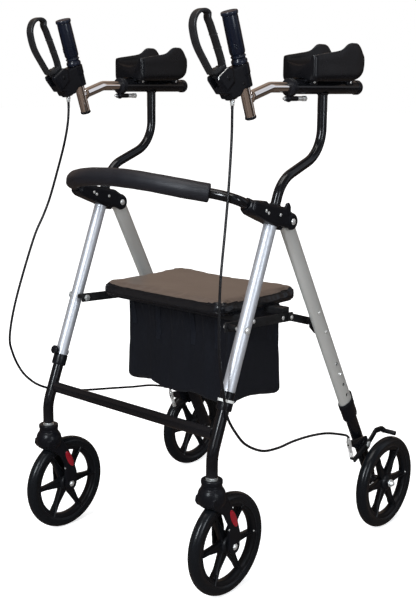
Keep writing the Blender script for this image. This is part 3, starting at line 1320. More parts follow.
pair("rear_axle_nuts", axle, "lower_rear_{}", "bright zinc", "rear_axle_{}")
print("rear half made")


# %% [markdown]
# The seat hangs on two flat rails. Each turns on a bolt through the front leg, and a flat link at
# the back joins it to the rear leg. Two cross bars carry the board under the cushion.

# %% Seat rails, bolts and links
SEAT_BOLT = Vector((KNEE.x, -0.194, 0.505))
RAIL_X = 0.1965
RAIL_END = Vector((RAIL_X, -0.008, 0.494))
LINK_X = RAIL_X + 0.0043
SEAT_TOP, SEAT_THICK = 0.543, 0.028
BOARD_LOW = SEAT_TOP - SEAT_THICK - 0.0003
rail_start = Vector((RAIL_X, SEAT_BOLT.y, SEAT_BOLT.z))
rail_way = (RAIL_END - rail_start).normalized()
rail = rounded(
    sweep([rail_start - rail_way * 0.010, RAIL_END + rail_way * 0.010], 0.004, 0.018, sides=4), 0.0008,
    2, 50,
)
sleeve = rounded(across(SEAT_BOLT, RAIL_X + 0.001, KNEE.x - 0.0137, 0.0120, 32), 0.0006, 2, 60)
pair("seat_rail", together(rail, sleeve), "seat", "satin black steel")
bars = []
for y in (-0.126, RAIL_END.y - 0.011):
    bars.append(rounded(
        box((-RAIL_X, y - 0.011, BOARD_LOW - 0.014), (RAIL_X, y + 0.011, BOARD_LOW - 0.0002)), 0.0015,
        2,
    ))
piece("seat_bars", together(*bars), "seat", "satin black steel", ["seat_frame"])
bolts = together(
    across(SEAT_BOLT, RAIL_X - 0.006, KNEE.x + 0.0135, 0.0078, 24),
    dome(SEAT_BOLT + LEFT * 0.0134, LEFT, 0.0062, 0.0030),
    lathe(
        [(0.0, 0.0), (0.0068, 0.0), (0.0068, 0.0009), (0.0, 0.0009)],
        facing(SEAT_BOLT + LEFT * 0.0126, LEFT), 32,
    ),
    nut(SEAT_BOLT + LEFT * (RAIL_X - 0.0022 - SEAT_BOLT.x), -LEFT, 0.0066, 0.0046),
)
pair("seat_bolt", bolts, "seat", "bright zinc")
rail_rivets = []
for y, z in ((-0.1216, 0.5035), (-0.030, 0.4953)):
    rail_rivets.append(dome((RAIL_X + 0.0019, y, z), LEFT, 0.0042, 0.0018))
pair("rail_rivets", together(*rail_rivets), "seat", "bright zinc")
link_far = on_rear(LINK_DOWN)
link_near, link_far = Vector((LINK_X, RAIL_END.y, RAIL_END.z)), Vector((LINK_X, link_far.y, link_far.z))
link_way = (link_far - link_near).normalized()
link = rounded(
    sweep([link_near - link_way * 0.009, link_far + link_way * 0.009], 0.004, 0.016, sides=4), 0.0010,
    2, 50,
)
washer = rounded(across(link_far, LINK_X - 0.001, inner_face - 0.0034, 0.0130, 32), 0.0005, 2, 60)
pair("rear_link_bar", together(link, washer), "rear_links", "satin black steel", "rear_link_{}")
link_heads = together(
    dome(link_near + LEFT * 0.0019, LEFT, 0.0046, 0.0022),
    dome(link_far - LEFT * 0.0019, -LEFT, 0.0048, 0.0020),
)
pair("link_rivets", link_heads, "rear_links", "bright zinc")

# %% [markdown]
# The cushion is puffed up by a cloth simulation: a flat pad, filled with air, held where it lies on
# its board. The result is written into the mesh. The piping goes on afterwards, found by rays shot
# at the finished cushion, because the sewing follows the swollen shape.

# %% Blowing up and pinning cloth
CLOTH_VOXEL = 0.0045


def simulate(bm, voxel, held, cap, frames=20, pressure=0.0, gravity=0.0, grow=0.0, stiff=12.0, passes=0):
    """Runs Blender's cloth on the mesh, holds the points that held names, and caps each one's way."""
    start = loose_object(bm)
    melt = start.modifiers.new("melt", "REMESH")
    melt.mode, melt.voxel_size = "VOXEL", voxel
    graph = bpy.context.evaluated_depsgraph_get()
    cloth_mesh = bpy.data.meshes.new_from_object(start.evaluated_get(graph), depsgraph=graph)
    bpy.data.objects.remove(start, do_unlink=True)
    item = bpy.data.objects.new("cloth", cloth_mesh)
    bpy.context.scene.collection.objects.link(item)
    rest = [vert.co.copy() for vert in cloth_mesh.vertices]
    group = item.vertex_groups.new(name="held")
    for vert in cloth_mesh.vertices:
        weight = held(vert.co)
        if weight > 0.0:
            group.add([vert.index], weight, "REPLACE")
    change = item.modifiers.new("cloth", "CLOTH")
    cloth = change.settings
    cloth.quality, cloth.mass = 6, 0.25
    cloth.tension_stiffness = cloth.compression_stiffness = cloth.shear_stiffness = stiff
    cloth.bending_stiffness = 0.6
    cloth.use_pressure, cloth.uniform_pressure_force = pressure > 0.0, pressure
    cloth.shrink_min = -grow
    cloth.vertex_group_mass = "held"
    cloth.effector_weights.gravity = gravity
    for frame_number in range(1, frames + 1):
        bpy.context.scene.frame_set(frame_number)
    graph = bpy.context.evaluated_depsgraph_get()
    moved = [vert.co.copy() for vert in item.evaluated_get(graph).data.vertices]
    item.modifiers.clear()
    for vert, was, now in zip(cloth_mesh.vertices, rest, moved):
        step = now - was
        vert.co = was + step * min(1.0, cap / max(step.length, 1e-9))
    bpy.context.scene.frame_set(1)
    soften = item.modifiers.new("soften", "SMOOTH")
    soften.iterations = passes
    finer = item.modifiers.new("finer", "SUBSURF")
    finer.levels = finer.render_levels = 1
    graph = bpy.context.evaluated_depsgraph_get()
    result = bmesh.new()
    result.from_object(item, graph)
    bpy.data.objects.remove(item, do_unlink=True)
    bpy.data.meshes.remove(cloth_mesh)
    return result


def slab(low, high, corner, edge):
    """A box with round upright corners and softly rounded top and bottom edges."""
    bm = box(low, high)
    rounded(bm, corner, 8, 25, lambda e: abs(e.verts[0].co.z - e.verts[1].co.z) > 0.001)
    return rounded(bm, edge, 4, 40, lambda e: abs(e.verts[0].co.z - e.verts[1].co.z) < 0.0001)


def found_by_rays(bm, starts):
    """Where rays from the pairs of (point, way) first meet the mesh."""
    tree = BVHTree.FromBMesh(bm)
    hits = [tree.ray_cast(point, way)[0] for point, way in starts]
    return [hit for hit in hits if hit]


# %% Seat cushion
PAD_X, PAD_FRONT, PAD_BACK = 0.1655, -0.1805, 0.0625
pad_middle = Vector((0.0, (PAD_FRONT + PAD_BACK) / 2, 0.0))
blank = slab((-PAD_X, PAD_FRONT, BOARD_LOW + 0.0014), (PAD_X, PAD_BACK, SEAT_TOP - 0.0030), 0.022, 0.0040)
cushion = simulate(
    blank, CLOTH_VOXEL, lambda co: 1.0 if co.z < BOARD_LOW + 0.012 else 0.0, 0.004, pressure=4.0, grow=0.02,
    passes=1,
)


def piping(height, width, lift):
    starts = []
    for i in range(181):
        turn = 2 * math.pi * i / 180
        out = Vector((math.cos(turn), math.sin(turn), 0.0))
        starts.append((pad_middle + Vector((out.x * 0.5, out.y * 0.5, height)), -out))
    route = [
        hit + (hit - pad_middle).to_2d().to_3d().normalized() * lift
        for hit in found_by_rays(cushion, starts)
    ]
    return sweep(through(route, 240), width, sides=10, side=UP)


cord_line = piping(SEAT_TOP - 0.0085, 0.0019, -0.0002)
low_line = piping(BOARD_LOW + 0.0075, 0.0015, -0.0003)
def on_top(spot):
    """True inside the top panel: a rectangle with round corners, a little inside the cushion's edge."""
    aside = abs(spot.x) - (PAD_X - 0.028)
    along = abs(spot.y - pad_middle.y) - ((PAD_BACK - PAD_FRONT) / 2 - 0.028)
    return spot.z > SEAT_TOP - 0.012 and math.hypot(max(aside, 0.0), max(along, 0.0)) < 0.0215


for face in cushion.faces:
    face.material_index = 0 if on_top(face.calc_center_median()) else 1
pad = piece("cushion", cushion, "seat", "seat leathercloth", ["seat_pad"], angle=60)
pad.data.materials.append(FINISHES["seat edge"][0])
piece("cushion_piping", together(cord_line, low_line), "seat", "seat edge", angle=60)
board = slab(
    (-PAD_X + 0.003, PAD_FRONT + 0.004, BOARD_LOW),
    (PAD_X - 0.003, PAD_BACK - 0.004, BOARD_LOW + 0.0030), 0.024, 0.0008,
)
piece("seat_board", board, "seat", "black moulding")
print("cushion made, simulated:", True)

# %% [markdown]
# The bag hangs from the seat bars. It starts as a closed box of cloth a little too large for its
# hem, so gravity and a breath of air pull it into loose folds. Webbing straps hang over its front.

# %% Shopping bag
BAG_TOP, BAG_LOW = BOARD_LOW - 0.0008, 0.3365
BAG_X, BAG_FRONT, BAG_BACK = 0.1585, -0.129, 0.038


def bag_blank():
    bm = slab((-BAG_X, BAG_FRONT, BAG_LOW), (BAG_X, BAG_BACK, BAG_TOP), 0.016, 0.006)
    bmesh.ops.subdivide_edges(bm, edges=bm.edges, cuts=24, use_grid_fill=True)
    for vert in bm.verts:
        share = (BAG_TOP - vert.co.z) / (BAG_TOP - BAG_LOW)
        narrow = 0.985 - 0.065 * math.exp(-(((share - 0.16) / 0.20) ** 2)) + 0.035 * share**2
        vert.co.x *= narrow
        middle_y = (BAG_FRONT + BAG_BACK) / 2
        vert.co.y = middle_y + (vert.co.y - middle_y) * (0.90 + 0.13 * min(1.0, share * 1.6))
        fold = 0.0022 * math.sin(vert.co.x * 95.0 + 1.3) + 0.0014 * math.sin(
            vert.co.x * 210.0 + vert.co.y * 60.0
        )
        vert.co.y += fold * (1.0 - 0.5 * share) * (-1.0 if vert.co.y < middle_y else 1.0)
        sag = 0.006 * math.cos(vert.co.x * 13.0 - 0.5) + 0.004 * math.sin(vert.co.x * 42.0 + vert.co.y * 25.0)
        vert.co.z -= (sag + 0.004) * share**3
    return bm


bag = simulate(
    bag_blank(), CLOTH_VOXEL, lambda co: 1.0 if co.z > BAG_TOP - 0.010 else 0.0, 0.012, frames=24,
    pressure=0.35, gravity=1.0, grow=0.045, stiff=8.0, passes=1,
)
straps = []
for x, drop, lean in (
    (-0.132, 0.062, 0.004), (-0.055, 0.084, -0.003), (0.035, 0.080, 0.003), (0.106, 0.078, -0.004),
):
    starts = []
    for i in range(15):
        share = i / 14
        starts.append((
            Vector((x + lean * share, BAG_FRONT - 0.2, BAG_TOP - 0.004 - drop * share)),
            Vector((0.0, 1.0, 0.0)),
        ))
    hits = [hit + AHEAD * 0.0009 for hit in found_by_rays(bag, starts)]
    straps.append(rounded(sweep(through(hits, 24), 0.0135, 0.0013, sides=4, side=LEFT), 0.0003, 1, 50))
    stitch = hits[-2]
    straps.append(rounded(
        box(stitch - Vector((0.0062, 0.0006, 0.003)), stitch + Vector((0.0062, 0.0012, 0.003))), 0.0005,
        1,
    ))
hem_starts = []
for i in range(181):
    turn = 2 * math.pi * i / 180
    out = Vector((math.cos(turn), math.sin(turn), 0.0))
    hem_starts.append((Vector((0.0, (BAG_FRONT + BAG_BACK) / 2, BAG_TOP - 0.0085)) + out * 0.5, -out))
hem = sweep(through(found_by_rays(bag, hem_starts), 220), 0.0022, sides=10, side=UP)
piece("bag_cloth", bag, "seat", "bag cloth", ["bag"], angle=60)
piece("bag_straps", together(*straps), "seat", "webbing")
piece("bag_hem", hem, "seat", "webbing", angle=60)
print("bag made")


# %% [markdown]
# The backrest is a bent bar in a foam sleeve. Its two tails turn back into the brackets. The foam is
# never quite even, so its skin swells and sinks by a few tenths of a millimetre.

# %% Backrest
FOAM_HALF = 0.181


def eased(start, leaving, end, arriving, steps):
    """Points on a curve that leaves the start one way and arrives at the end another."""
    a, b, c, d = start, start + leaving, end - arriving, end
    route = []
    for i in range(steps + 1):
        t = i / steps
        s = 1 - t
        route.append(s**3 * a + 3 * s * s * t * b + 3 * s * t * t * c + t**3 * d)
    return route


def backrest_at(x):
    return Vector((x, -0.286 + 0.837 * x**2 + 25.475 * x**4, 0.774 - 0.603 * x**2))


foam_route = [backrest_at(FOAM_HALF * i / 5) for i in range(-5, 6)]
foam_way = (foam_route[-1] - foam_route[-2]).normalized()
bar_mouth, bar_end = bar_in_bracket(BRACKET_FRONT + 0.002), bar_in_bracket(BRACKET_FRONT + 0.037)
inwards = (bar_end - bar_mouth).normalized()
before = bar_mouth - inwards * 0.012
reach = (before - foam_route[-1]).length * 0.4
tail = eased(foam_route[-1], foam_way * reach, before, inwards * reach, 8)[1:] + [bar_end]
head = [Vector((-p.x, p.y, p.z)) for p in reversed(tail)]
bar_route = through(head + foam_route + tail, 120)
piece(
    "backrest_tube", sweep(bar_route, THIN_TUBE, sides=32, side=UP), "front_frame", "gloss black paint",
    ["backrest_bar"],
)


def foam_swell(t):
    end = min(t, 1 - t) * 2 * FOAM_HALF
    lip = 1.0 - 0.20 * max(0.0, 1.0 - end / 0.007) ** 2
    return lip * (1.0 + 0.010 * math.sin(23 * t + 1.0) + 0.006 * math.sin(61 * t))


def ends_rounded(route, step, count):
    """More places near both ends of the route, where its end rounds off."""
    first = [route[0].lerp(route[1], i * step) for i in range(count)]
    last = [route[-1].lerp(route[-2], i * step) for i in reversed(range(count))]
    return first + route[1:-1] + last


foam_line = ends_rounded(through(foam_route, 91), 0.2, 5)
foam = sweep(foam_line, 0.035, sides=48, side=UP, swell=lambda t: foam_swell(t))
sleeve = piece("backrest_sleeve", foam, "front_frame", "sleeve foam", ["backrest_foam"], angle=60)

# %% [markdown]
# The arm post slides in the top of the front leg and bends back to carry the forearm tube. The tube
# ends in a plastic cap behind, and in front a ringed lug guides the thin rod of the handle.

# %% Arm posts and forearm tubes
post_top = Vector((KNEE.x, POST_HEAD.y, ARM_Z - 0.0120))
post_route = bent([on_leg(LEG_TOP - 0.020), POST_CORNER, POST_HEAD, post_top], 0.068, 14)
pair("post_tube", sweep(post_route, THIN_TUBE, sides=40), "arm_{}", "gloss black paint", "arm_post_{}")
post_ring = lathe([(0.0097, -0.0005), (0.0112, 0.0), (0.0114, 0.0016), (0.0108, 0.0026), (0.0097, 0.0030)],
                  facing(on_leg(LEG_TOP + 0.0152), LEG_UP), 48, ring=True)
pair("post_ring", post_ring, "front_frame", "black moulding")
ARM_FRONT, ARM_BACK, LUG_DOWN = 0.097, -0.109, -0.0205
tube = sweep([on_arm(ARM_BACK + 0.004), on_arm(-0.04), on_arm(0.04), on_arm(ARM_FRONT)], WIDE_TUBE, sides=48)
weld = lathe([(0.0, -0.0028), (0.0122, -0.0028), (0.0110, -0.0010), (0.0100, 0.0008), (0.0, 0.0030)],
             facing(Vector((KNEE.x, POST_HEAD.y, ARM_Z - 0.0136)), -UP), 40)
pair("arm_tube", toed(together(tube, weld)), "arm_{}", "gloss black paint", "forearm_tube_{}")
end_cap = lathe([(0.0, -0.0026), (0.0100, -0.0024), (0.0130, -0.0008), (0.0142, 0.0016), (0.0142, 0.0092),
                 (0.0136, 0.0100), (0.0124, 0.0100)], facing(on_arm(ARM_BACK), AHEAD), 56)


def ringed_lug(start, depth, bore):
    """A moulded ring about the tube, and the lug under it that the guide rod runs through."""
    ring = lathe(
        [
            (bore, 0.0), (0.0155, 0.0), (0.0165, 0.0010), (0.0165, depth - 0.0010), (0.0155, depth),
            (bore, depth),
        ], facing(on_arm(start), AHEAD), 56, ring=True,
    )
    ball = bmesh.new()
    bmesh.ops.create_uvsphere(ball, u_segments=28, v_segments=18, radius=0.0066)
    bmesh.ops.translate(ball, vec=on_arm(start + depth / 2, LUG_DOWN), verts=ball.verts)
    neck = rounded(box(on_arm(start + depth, LUG_DOWN, -0.0042), on_arm(start, -0.0130, 0.0042)), 0.0010, 2)
    return together(ring, ball, neck)


pair("arm_tube_cap", toed(end_cap), "arm_{}", "black moulding")
sleeve_room = rod(on_arm(ARM_FRONT - 0.020, LUG_DOWN), on_arm(ARM_FRONT + 0.012, LUG_DOWN), 0.0094, 40)
pair(
    "arm_lug", toed(carved(ringed_lug(ARM_FRONT - 0.006, 0.006, 0.0126), sleeve_room)), "arm_{}",
    "black moulding",
)
pair(
    "handle_lug", toed(ringed_lug(ARM_FRONT + 0.0004, 0.006, 0.0096)), "handle_{}", "black moulding",
    "front_ring_{}",
)
rod_back, rod_front = ARM_FRONT - 0.006 - 0.030 - 0.0003, ARM_FRONT + 0.0063
guide = together(
    rod(on_arm(rod_back - 0.009, LUG_DOWN), on_arm(rod_front + 0.0112, LUG_DOWN), 0.0050, 20),
    rounded(
        rod(on_arm(rod_back - 0.004, LUG_DOWN), on_arm(rod_back + 0.024, LUG_DOWN), 0.0088, 32), 0.0006,
        2, 60,
    ),
    nut(on_arm(rod_back - 0.009, LUG_DOWN), AHEAD, 0.0058, 0.0078),
    nut(on_arm(rod_front + 0.0004, LUG_DOWN), AHEAD, 0.0044, 0.0036),
    dome(on_arm(rod_front + 0.0110, LUG_DOWN), AHEAD, 0.0025, 0.0010),
)
pair("guide_bolt", toed(guide), "handle_{}", "bright zinc", "guide_rod_{}")

# %% [markdown]
# A forearm gutter is one padded moulding. Its section is a round channel in a thick body, lofted
# along the tube, and the rim rises into an ear on each side at the back. A grid of vertices is bent
# into the loft, its two long edges meet, and the ends are closed and rounded.

# %% Forearm gutters
GUTTER_SEAT, GUTTER_HALF, GUTTER_WALL, GUTTER_SKIRT = 0.0155, 0.041, 0.0062, 0.005
GUTTER_FRONT, GUTTER_BACK = 0.074, -0.076
RIM_LINE = [
    (0.074, 0.0415), (0.068, 0.0430), (0.044, 0.0465), (0.010, 0.0505), (-0.004, 0.0530),
    (-0.014, 0.0580), (-0.024, 0.0650), (-0.032, 0.0672), (-0.052, 0.0670), (-0.060, 0.0640),
    (-0.068, 0.0540), (-0.076, 0.0430),
]


def read_line(line, at):
    """The height at a place of a line given as falling (place, height) pairs."""
    for (a, low), (b, high) in zip(line, line[1:]):
        if a >= at >= b:
            return low + (high - low) * (a - at) / (a - b)
    return line[0][1] if at > line[0][0] else line[-1][1]


def loft(rings):
    """A closed form through rings of points, made by bending a grid."""
    bm = bmesh.new()
    count = len(rings[0])
    bmesh.ops.create_grid(bm, x_segments=count, y_segments=len(rings) - 1, size=1.0)
    for i, vert in enumerate(sorted(bm.verts, key=lambda v: (round(v.co.y, 5), v.co.x))):
        vert.co = rings[i // (count + 1)][i % (count + 1) % count]
    bmesh.ops.remove_doubles(bm, verts=bm.verts, dist=1e-6)
    bmesh.ops.holes_fill(bm, edges=[e for e in bm.edges if e.is_boundary], sides=0)
    return bm


def gutter_ring(ahead):
    rim = sum(read_line(RIM_LINE, ahead + shift) for shift in (-0.004, -0.002, 0.0, 0.002, 0.004)) / 5
    front_end = max(0.0, 0.009 - (GUTTER_FRONT - ahead)) / 0.009
    back_end = max(0.0, 0.030 - (ahead - GUTTER_BACK)) / 0.030
    turned_in = 1.0 - math.sqrt(max(0.0, 1.0 - front_end**2))
    lift = 0.003 * turned_in + 0.016 * (1.0 - math.sqrt(max(0.0, 1.0 - back_end**2)))
    skirt = GUTTER_SKIRT * (1.0 - 0.5 * min(1.0, (GUTTER_FRONT - ahead) / 0.10)) * (1.0 - back_end)
    half = GUTTER_HALF - 0.0055 * turned_in - 0.10 * lift
    floor = 0.0175 + 0.006 * max(0.0, 1.0 - (GUTTER_FRONT - ahead) / 0.030) ** 1.5
    low = lift - skirt
    outside = [
        (half - 0.0012, rim - 0.001), (half, rim - 0.008), (half, 0.026), (half, low + 0.010),
        (half - 0.0015, low + 0.004), (half - 0.005, low + 0.0005), (half - 0.010, low),
        (half - 0.018, low + 0.001), (half - 0.023, lift),
    ]
    inner = half - GUTTER_WALL
    inside = []
    for i in range(7):
        turn = math.radians(90 * i / 6)
        deep = max(rim - 0.004, 0.036) - floor
        inside.append((inner * math.cos(turn), max(rim - 0.004, 0.036) - deep * math.sin(turn)))
    rim_round = [(inner + 0.0004, rim - 0.0022), (inner + 0.0030, rim)]
    right = [Vector((x, 0.0, z)) for x, z in reversed(outside)]
    top = [Vector((x, 0.0, z)) for x, z in reversed(rim_round)] + [Vector((x, 0.0, z)) for x, z in inside]
    way = right + top
    mirrored = [Vector((-p.x, 0.0, p.z)) for p in reversed(way)][1:]
    loop = through([Vector((0.0, 0.0, lift))] + way + mirrored + [Vector((0.0, 0.0, lift))], 133)[:-1]
    return [on_arm(ahead, GUTTER_SEAT + p.z, p.x) for p in loop]


stations = [GUTTER_FRONT - 0.009 * (1.0 - math.cos(math.pi * i / 16)) for i in range(8)]
stations += [GUTTER_FRONT - 0.009 + (GUTTER_BACK - GUTTER_FRONT + 0.009) * i / 56 for i in range(57)]
gutter = loft([gutter_ring(ahead) for ahead in stations])
front_y, back_y = on_arm(GUTTER_FRONT).y, on_arm(GUTTER_BACK).y
rounded(
    gutter, 0.0016, 3, 30,
    lambda e: all(min(abs(v.co.y - front_y), abs(v.co.y - back_y)) < 1e-6 for v in e.verts),
)
pair("gutter_pad", toed(gutter), "arm_{}", "forearm foam skin", "forearm_gutter_{}", angle=50)
base = rounded(box(on_arm(0.064, 0.0105, -0.0150), on_arm(-0.072, 0.0165, 0.0150)), 0.0012, 2)
feet = [rounded(box(on_arm(ahead + 0.010, 0.0040, -0.0142), on_arm(ahead - 0.010, 0.0150, 0.0142)), 0.0020, 3)
        for ahead in (0.043, -0.068)]
pair("gutter_base", toed(together(base, *feet)), "arm_{}", "black moulding")
plate_edge = rounded(box(on_arm(0.030, 0.0128, -0.0160), on_arm(-0.002, 0.0146, 0.0160)), 0.0005, 2)
bolts = [plate_edge]
for ahead in (0.043, -0.068):
    for aside in (-1, 1):
        bolts.append(dome(on_arm(ahead, 0.0100, aside * 0.0140), LEFT * aside, 0.0030, 0.0020))
pair("gutter_bolts", toed(together(*bolts)), "arm_{}", "bright zinc")
print("arms made")

# %% [markdown]
# The handle is chrome tube: out of the forearm tube, down, and into an upright that leans forwards.
# The grip is turned rubber with a waist ring at its foot and a rim at its top.

# %% Handles and grips
HANDLE_WIDTH, GRIP_BASE, GRIP_LENGTH, GRIP_RADIUS = 0.0195, 0.062, 0.092, 0.0145
handle_route = bent([on_arm(ARM_FRONT - 0.030), on_arm(ARM_FRONT + 0.055), JUNCTION], 0.030, 14)
branch = sweep(handle_route, HANDLE_WIDTH, sides=48)
upright = rod(on_grip(-0.034), on_grip(0.070), HANDLE_WIDTH, 48)
branch_way = (handle_route[-1] - handle_route[-2]).normalized()
weld = lathe([(0.0095, -0.0052), (0.0108, -0.0030), (0.0122, 0.0004), (0.0124, 0.0030), (0.0095, 0.0034)],
             facing(JUNCTION - branch_way * 0.0095, branch_way), 40, ring=True)
pair("handle_chrome", toed(together(branch, upright, weld)), "handle_{}", "chrome", "handle_tube_{}")
foot_cap = lathe(
    [
        (0.0, -0.0050), (0.0085, -0.0048), (0.0103, -0.0036), (0.0106, -0.0012), (0.0104, 0.0006),
        (0.0, 0.0006),
    ], facing(on_grip(-0.034), GRIP_UP), 48,
)
pair("handle_foot", toed(foot_cap), "handle_{}", "black moulding")
r, top = GRIP_RADIUS, GRIP_LENGTH
grip_profile = [
    (0.0100, 0.0), (r - 0.0020, 0.0), (r - 0.0004, 0.0010), (r + 0.0002, 0.0035), (r, 0.0062),
    (r - 0.0018, 0.0084),
    (r - 0.0026, 0.0100), (r - 0.0020, 0.0112), (r - 0.0008, 0.0122), (r - 0.0008, 0.0138),
    (r - 0.0022, 0.0150),
    (r - 0.0024, 0.0168), (r - 0.0010, 0.0185), (r - 0.0004, 0.0215), (r - 0.0004, top - 0.030),
    (r - 0.0006, top - 0.0085), (r - 0.0010, top - 0.0070), (r + 0.0006, top - 0.0060),
    (r + 0.0009, top - 0.0045),
    (r + 0.0009, top - 0.0018), (r + 0.0002, top - 0.0004), (r - 0.0020, top), (0.0105, top),
    (0.0098, top - 0.0006),
    (0.0, top - 0.0008),
]
grip = lathe(grip_profile, facing(on_grip(GRIP_BASE), GRIP_UP), 72)
curves = []
for lift, span in ((0.028, 46), (0.024, 34)):
    route = []
    for i in range(17):
        share = i / 16
        turn = math.radians(-58 - span * (share - 0.5))
        place = facing(on_grip(GRIP_BASE + lift + 0.0085 * math.sin(math.pi * (share + 0.15))), GRIP_UP)
        route.append(place @ (Vector((math.cos(turn), math.sin(turn), 0.0)) * (r - 0.0003)))
    curves.append(sweep(through(route, 28), 0.0012, sides=8, side=GRIP_UP))
pair("grip_rubber", toed(together(grip, *curves)), "handle_{}", "grip rubber", "grip_{}", angle=38)

# %% [markdown]
# The brake housing clamps the tube under the grip. Its angular nose holds the lever's pivot and the
# end of the cable. The lever is a loop of flat bar, wide enough for four fingers.

# %% Brake housings
HOUSING_HALF, LEVER_FOOT = 0.014, (0.052, 0.049)


def grip_outline(pairs):
    points = [on_grip(up, ahead) for up, ahead in pairs]
    return [(point.y, point.z) for point in points]


def make_housing():
    low, high = 0.020, GRIP_BASE - 0.0006
    nose = rounded(plate(grip_outline([
        (high, 0.0), (high, 0.026), (high + 0.003, 0.034), (high + 0.008, 0.0425), (high - 0.001, 0.072),
        (high - 0.007, 0.073), (high - 0.035, 0.060), (high - 0.038, 0.052), (high - 0.048, 0.049),
        (high - 0.049, 0.026), (low, 0.016), (low + 0.003, 0.0)]), KNEE.x, 2 * HOUSING_HALF), 0.0020, 2, 60)
    clamp = rod(on_grip(low), on_grip(high), 0.0300, 48)
    step = rod(on_grip(low + 0.024), on_grip(high - 0.0004), 0.0318, 48)
    chin = rod(on_grip(high - 0.0505, 0.0375), on_grip(high - 0.036, 0.0375), 0.0225, 32)
    cheeks = [
        rounded(
            plate(
                grip_outline([
                    (high + 0.0065, 0.0425), (high - 0.0015, 0.0700), (high - 0.0070, 0.0705),
                    (high - 0.030, 0.0560), (high - 0.020, 0.036), (high, 0.034),
                ]), KNEE.x + s * (HOUSING_HALF + 0.0002), 0.0024,
            ), 0.0008, 2,
        )
        for s in (-1, 1)
    ]
    solid = melted(together(nose, clamp, step, chin, *cheeks), 0.0009, 2)
    base, root = LEVER_FOOT
    slot = plate(
        grip_outline([
            (high + 0.012, root - 0.014), (base - 0.004, root - 0.012), (base - 0.012, root),
            (base - 0.012, root + 0.034), (high + 0.012, root + 0.034),
        ]), KNEE.x, 0.0134,
    )
    loop_room = plate(
        grip_outline([
            (high + 0.012, root - 0.014), (high - 0.002, root - 0.013), (high - 0.002, root + 0.030),
            (high + 0.012, root + 0.030),
        ]), KNEE.x, 0.0166,
    )
    bore = rod(on_grip(low - 0.01), on_grip(high + 0.01), 0.0199, 48)
    return carved(solid, slot, loop_room, bore)


pair("housing_body", toed(make_housing()), "handle_{}", "black moulding", "brake_housing_{}", angle=42)
exit_point = on_grip(0.0, 0.039)
exit_tip = lathe(
    [
        (0.0, -0.0012), (0.0030, -0.0010), (0.0036, 0.0000), (0.0036, 0.0044), (0.0043, 0.0050),
        (0.0043, 0.0090), (0.0036, 0.0096), (0.0036, 0.0150), (0.0, 0.0150),
    ], facing(exit_point, UP), 40,
)
pair("housing_ferrule", toed(exit_tip), "handle_{}", "bright zinc")
pivot_at = on_grip(*LEVER_FOOT)
pins = [dome(pivot_at + LEFT * s * (HOUSING_HALF + 0.0012), LEFT * s, 0.0042, 0.0018) for s in (-1, 1)]
pins.append(
    across(pivot_at, pivot_at.x - HOUSING_HALF - 0.0016, pivot_at.x + HOUSING_HALF + 0.0016, 0.0050, 24)
)
pins.append(dome(on_grip(0.030, 0.0140, 0.0142), LEFT, 0.0030, 0.0012))
pair("housing_pins", toed(together(*pins)), "handle_{}", "satin black steel")
edge_line = [on_grip(0.0688, 0.0440, HOUSING_HALF + 0.0002), on_grip(0.0606, 0.0705, HOUSING_HALF + 0.0002),
             on_grip(0.0560, 0.0722, HOUSING_HALF + 0.0002)]
trim = sweep(bent(edge_line, 0.002, 4), 0.0014, sides=8)
pair("housing_edge", toed(trim), "handle_{}", "satin silver")


# %% Brake levers
def lever_line():
    """The loop's middle line: up its front bar, over the top and down the inner bar."""
    base, root = LEVER_FOOT
    front, inner = root + 0.042, root - 0.006
    spots = [
        (base + 0.014, front - 0.018), (base + 0.038, front - 0.009), (base + 0.070, front + 0.001),
        (base + 0.098, front + 0.001), (base + 0.112, front - 0.005), (base + 0.120, front - 0.016),
        (base + 0.120, front - 0.031), (base + 0.113, inner + 0.008), (base + 0.105, inner + 0.0105),
        (base + 0.094, inner + 0.008), (base + 0.080, inner + 0.006), (base + 0.066, inner + 0.004),
        (base + 0.049, inner + 0.002), (base + 0.029, inner), (base + 0.014, inner + 0.001),
    ]
    return through([on_grip(*spot) for spot in spots], 72)


def make_lever():
    line = lever_line()
    base, root = LEVER_FOOT
    loop = sweep(line, 0.0160, 0.0060, sides=4)
    rounded(loop, 0.0019, 3, 50)
    web = rounded(
        plate(
            grip_outline([
                (base + 0.019, root + 0.026), (base + 0.022, root + 0.012),
                (base + 0.020, root - 0.009), (base + 0.004, root - 0.007),
                (base - 0.002, root + 0.004), (base + 0.004, root + 0.017),
            ]), KNEE.x, 0.0120,
        ), 0.0016, 2,
    )
    shoulder = rounded(
        plate(
            grip_outline([
                (base + 0.022, root + 0.029), (base + 0.018, root + 0.012),
                (base + 0.022, root - 0.010), (base + 0.012, root - 0.009),
                (base + 0.009, root + 0.008), (base + 0.012, root + 0.024),
            ]), KNEE.x, 0.0155,
        ), 0.0022, 3,
    )
    hub = across(on_grip(base, root), KNEE.x - 0.006, KNEE.x + 0.006, 0.017, 40)
    solid = melted(together(loop, web, shoulder, hub), 0.0009, 4)
    grooves = []
    for index in (19, 24, 29):
        way = (line[index + 1] - line[index - 1]).normalized()
        out = way.cross(LEFT)
        spot = line[index] + out * 0.0032 * (1 if out.y < 0 else -1)
        place = facing(spot, way)
        groove = box((-0.0052, -0.0008, -0.0007), (0.0052, 0.0008, 0.0007))
        bmesh.ops.transform(groove, matrix=place, verts=groove.verts)
        grooves.append(groove)
    return carved(solid, *grooves)


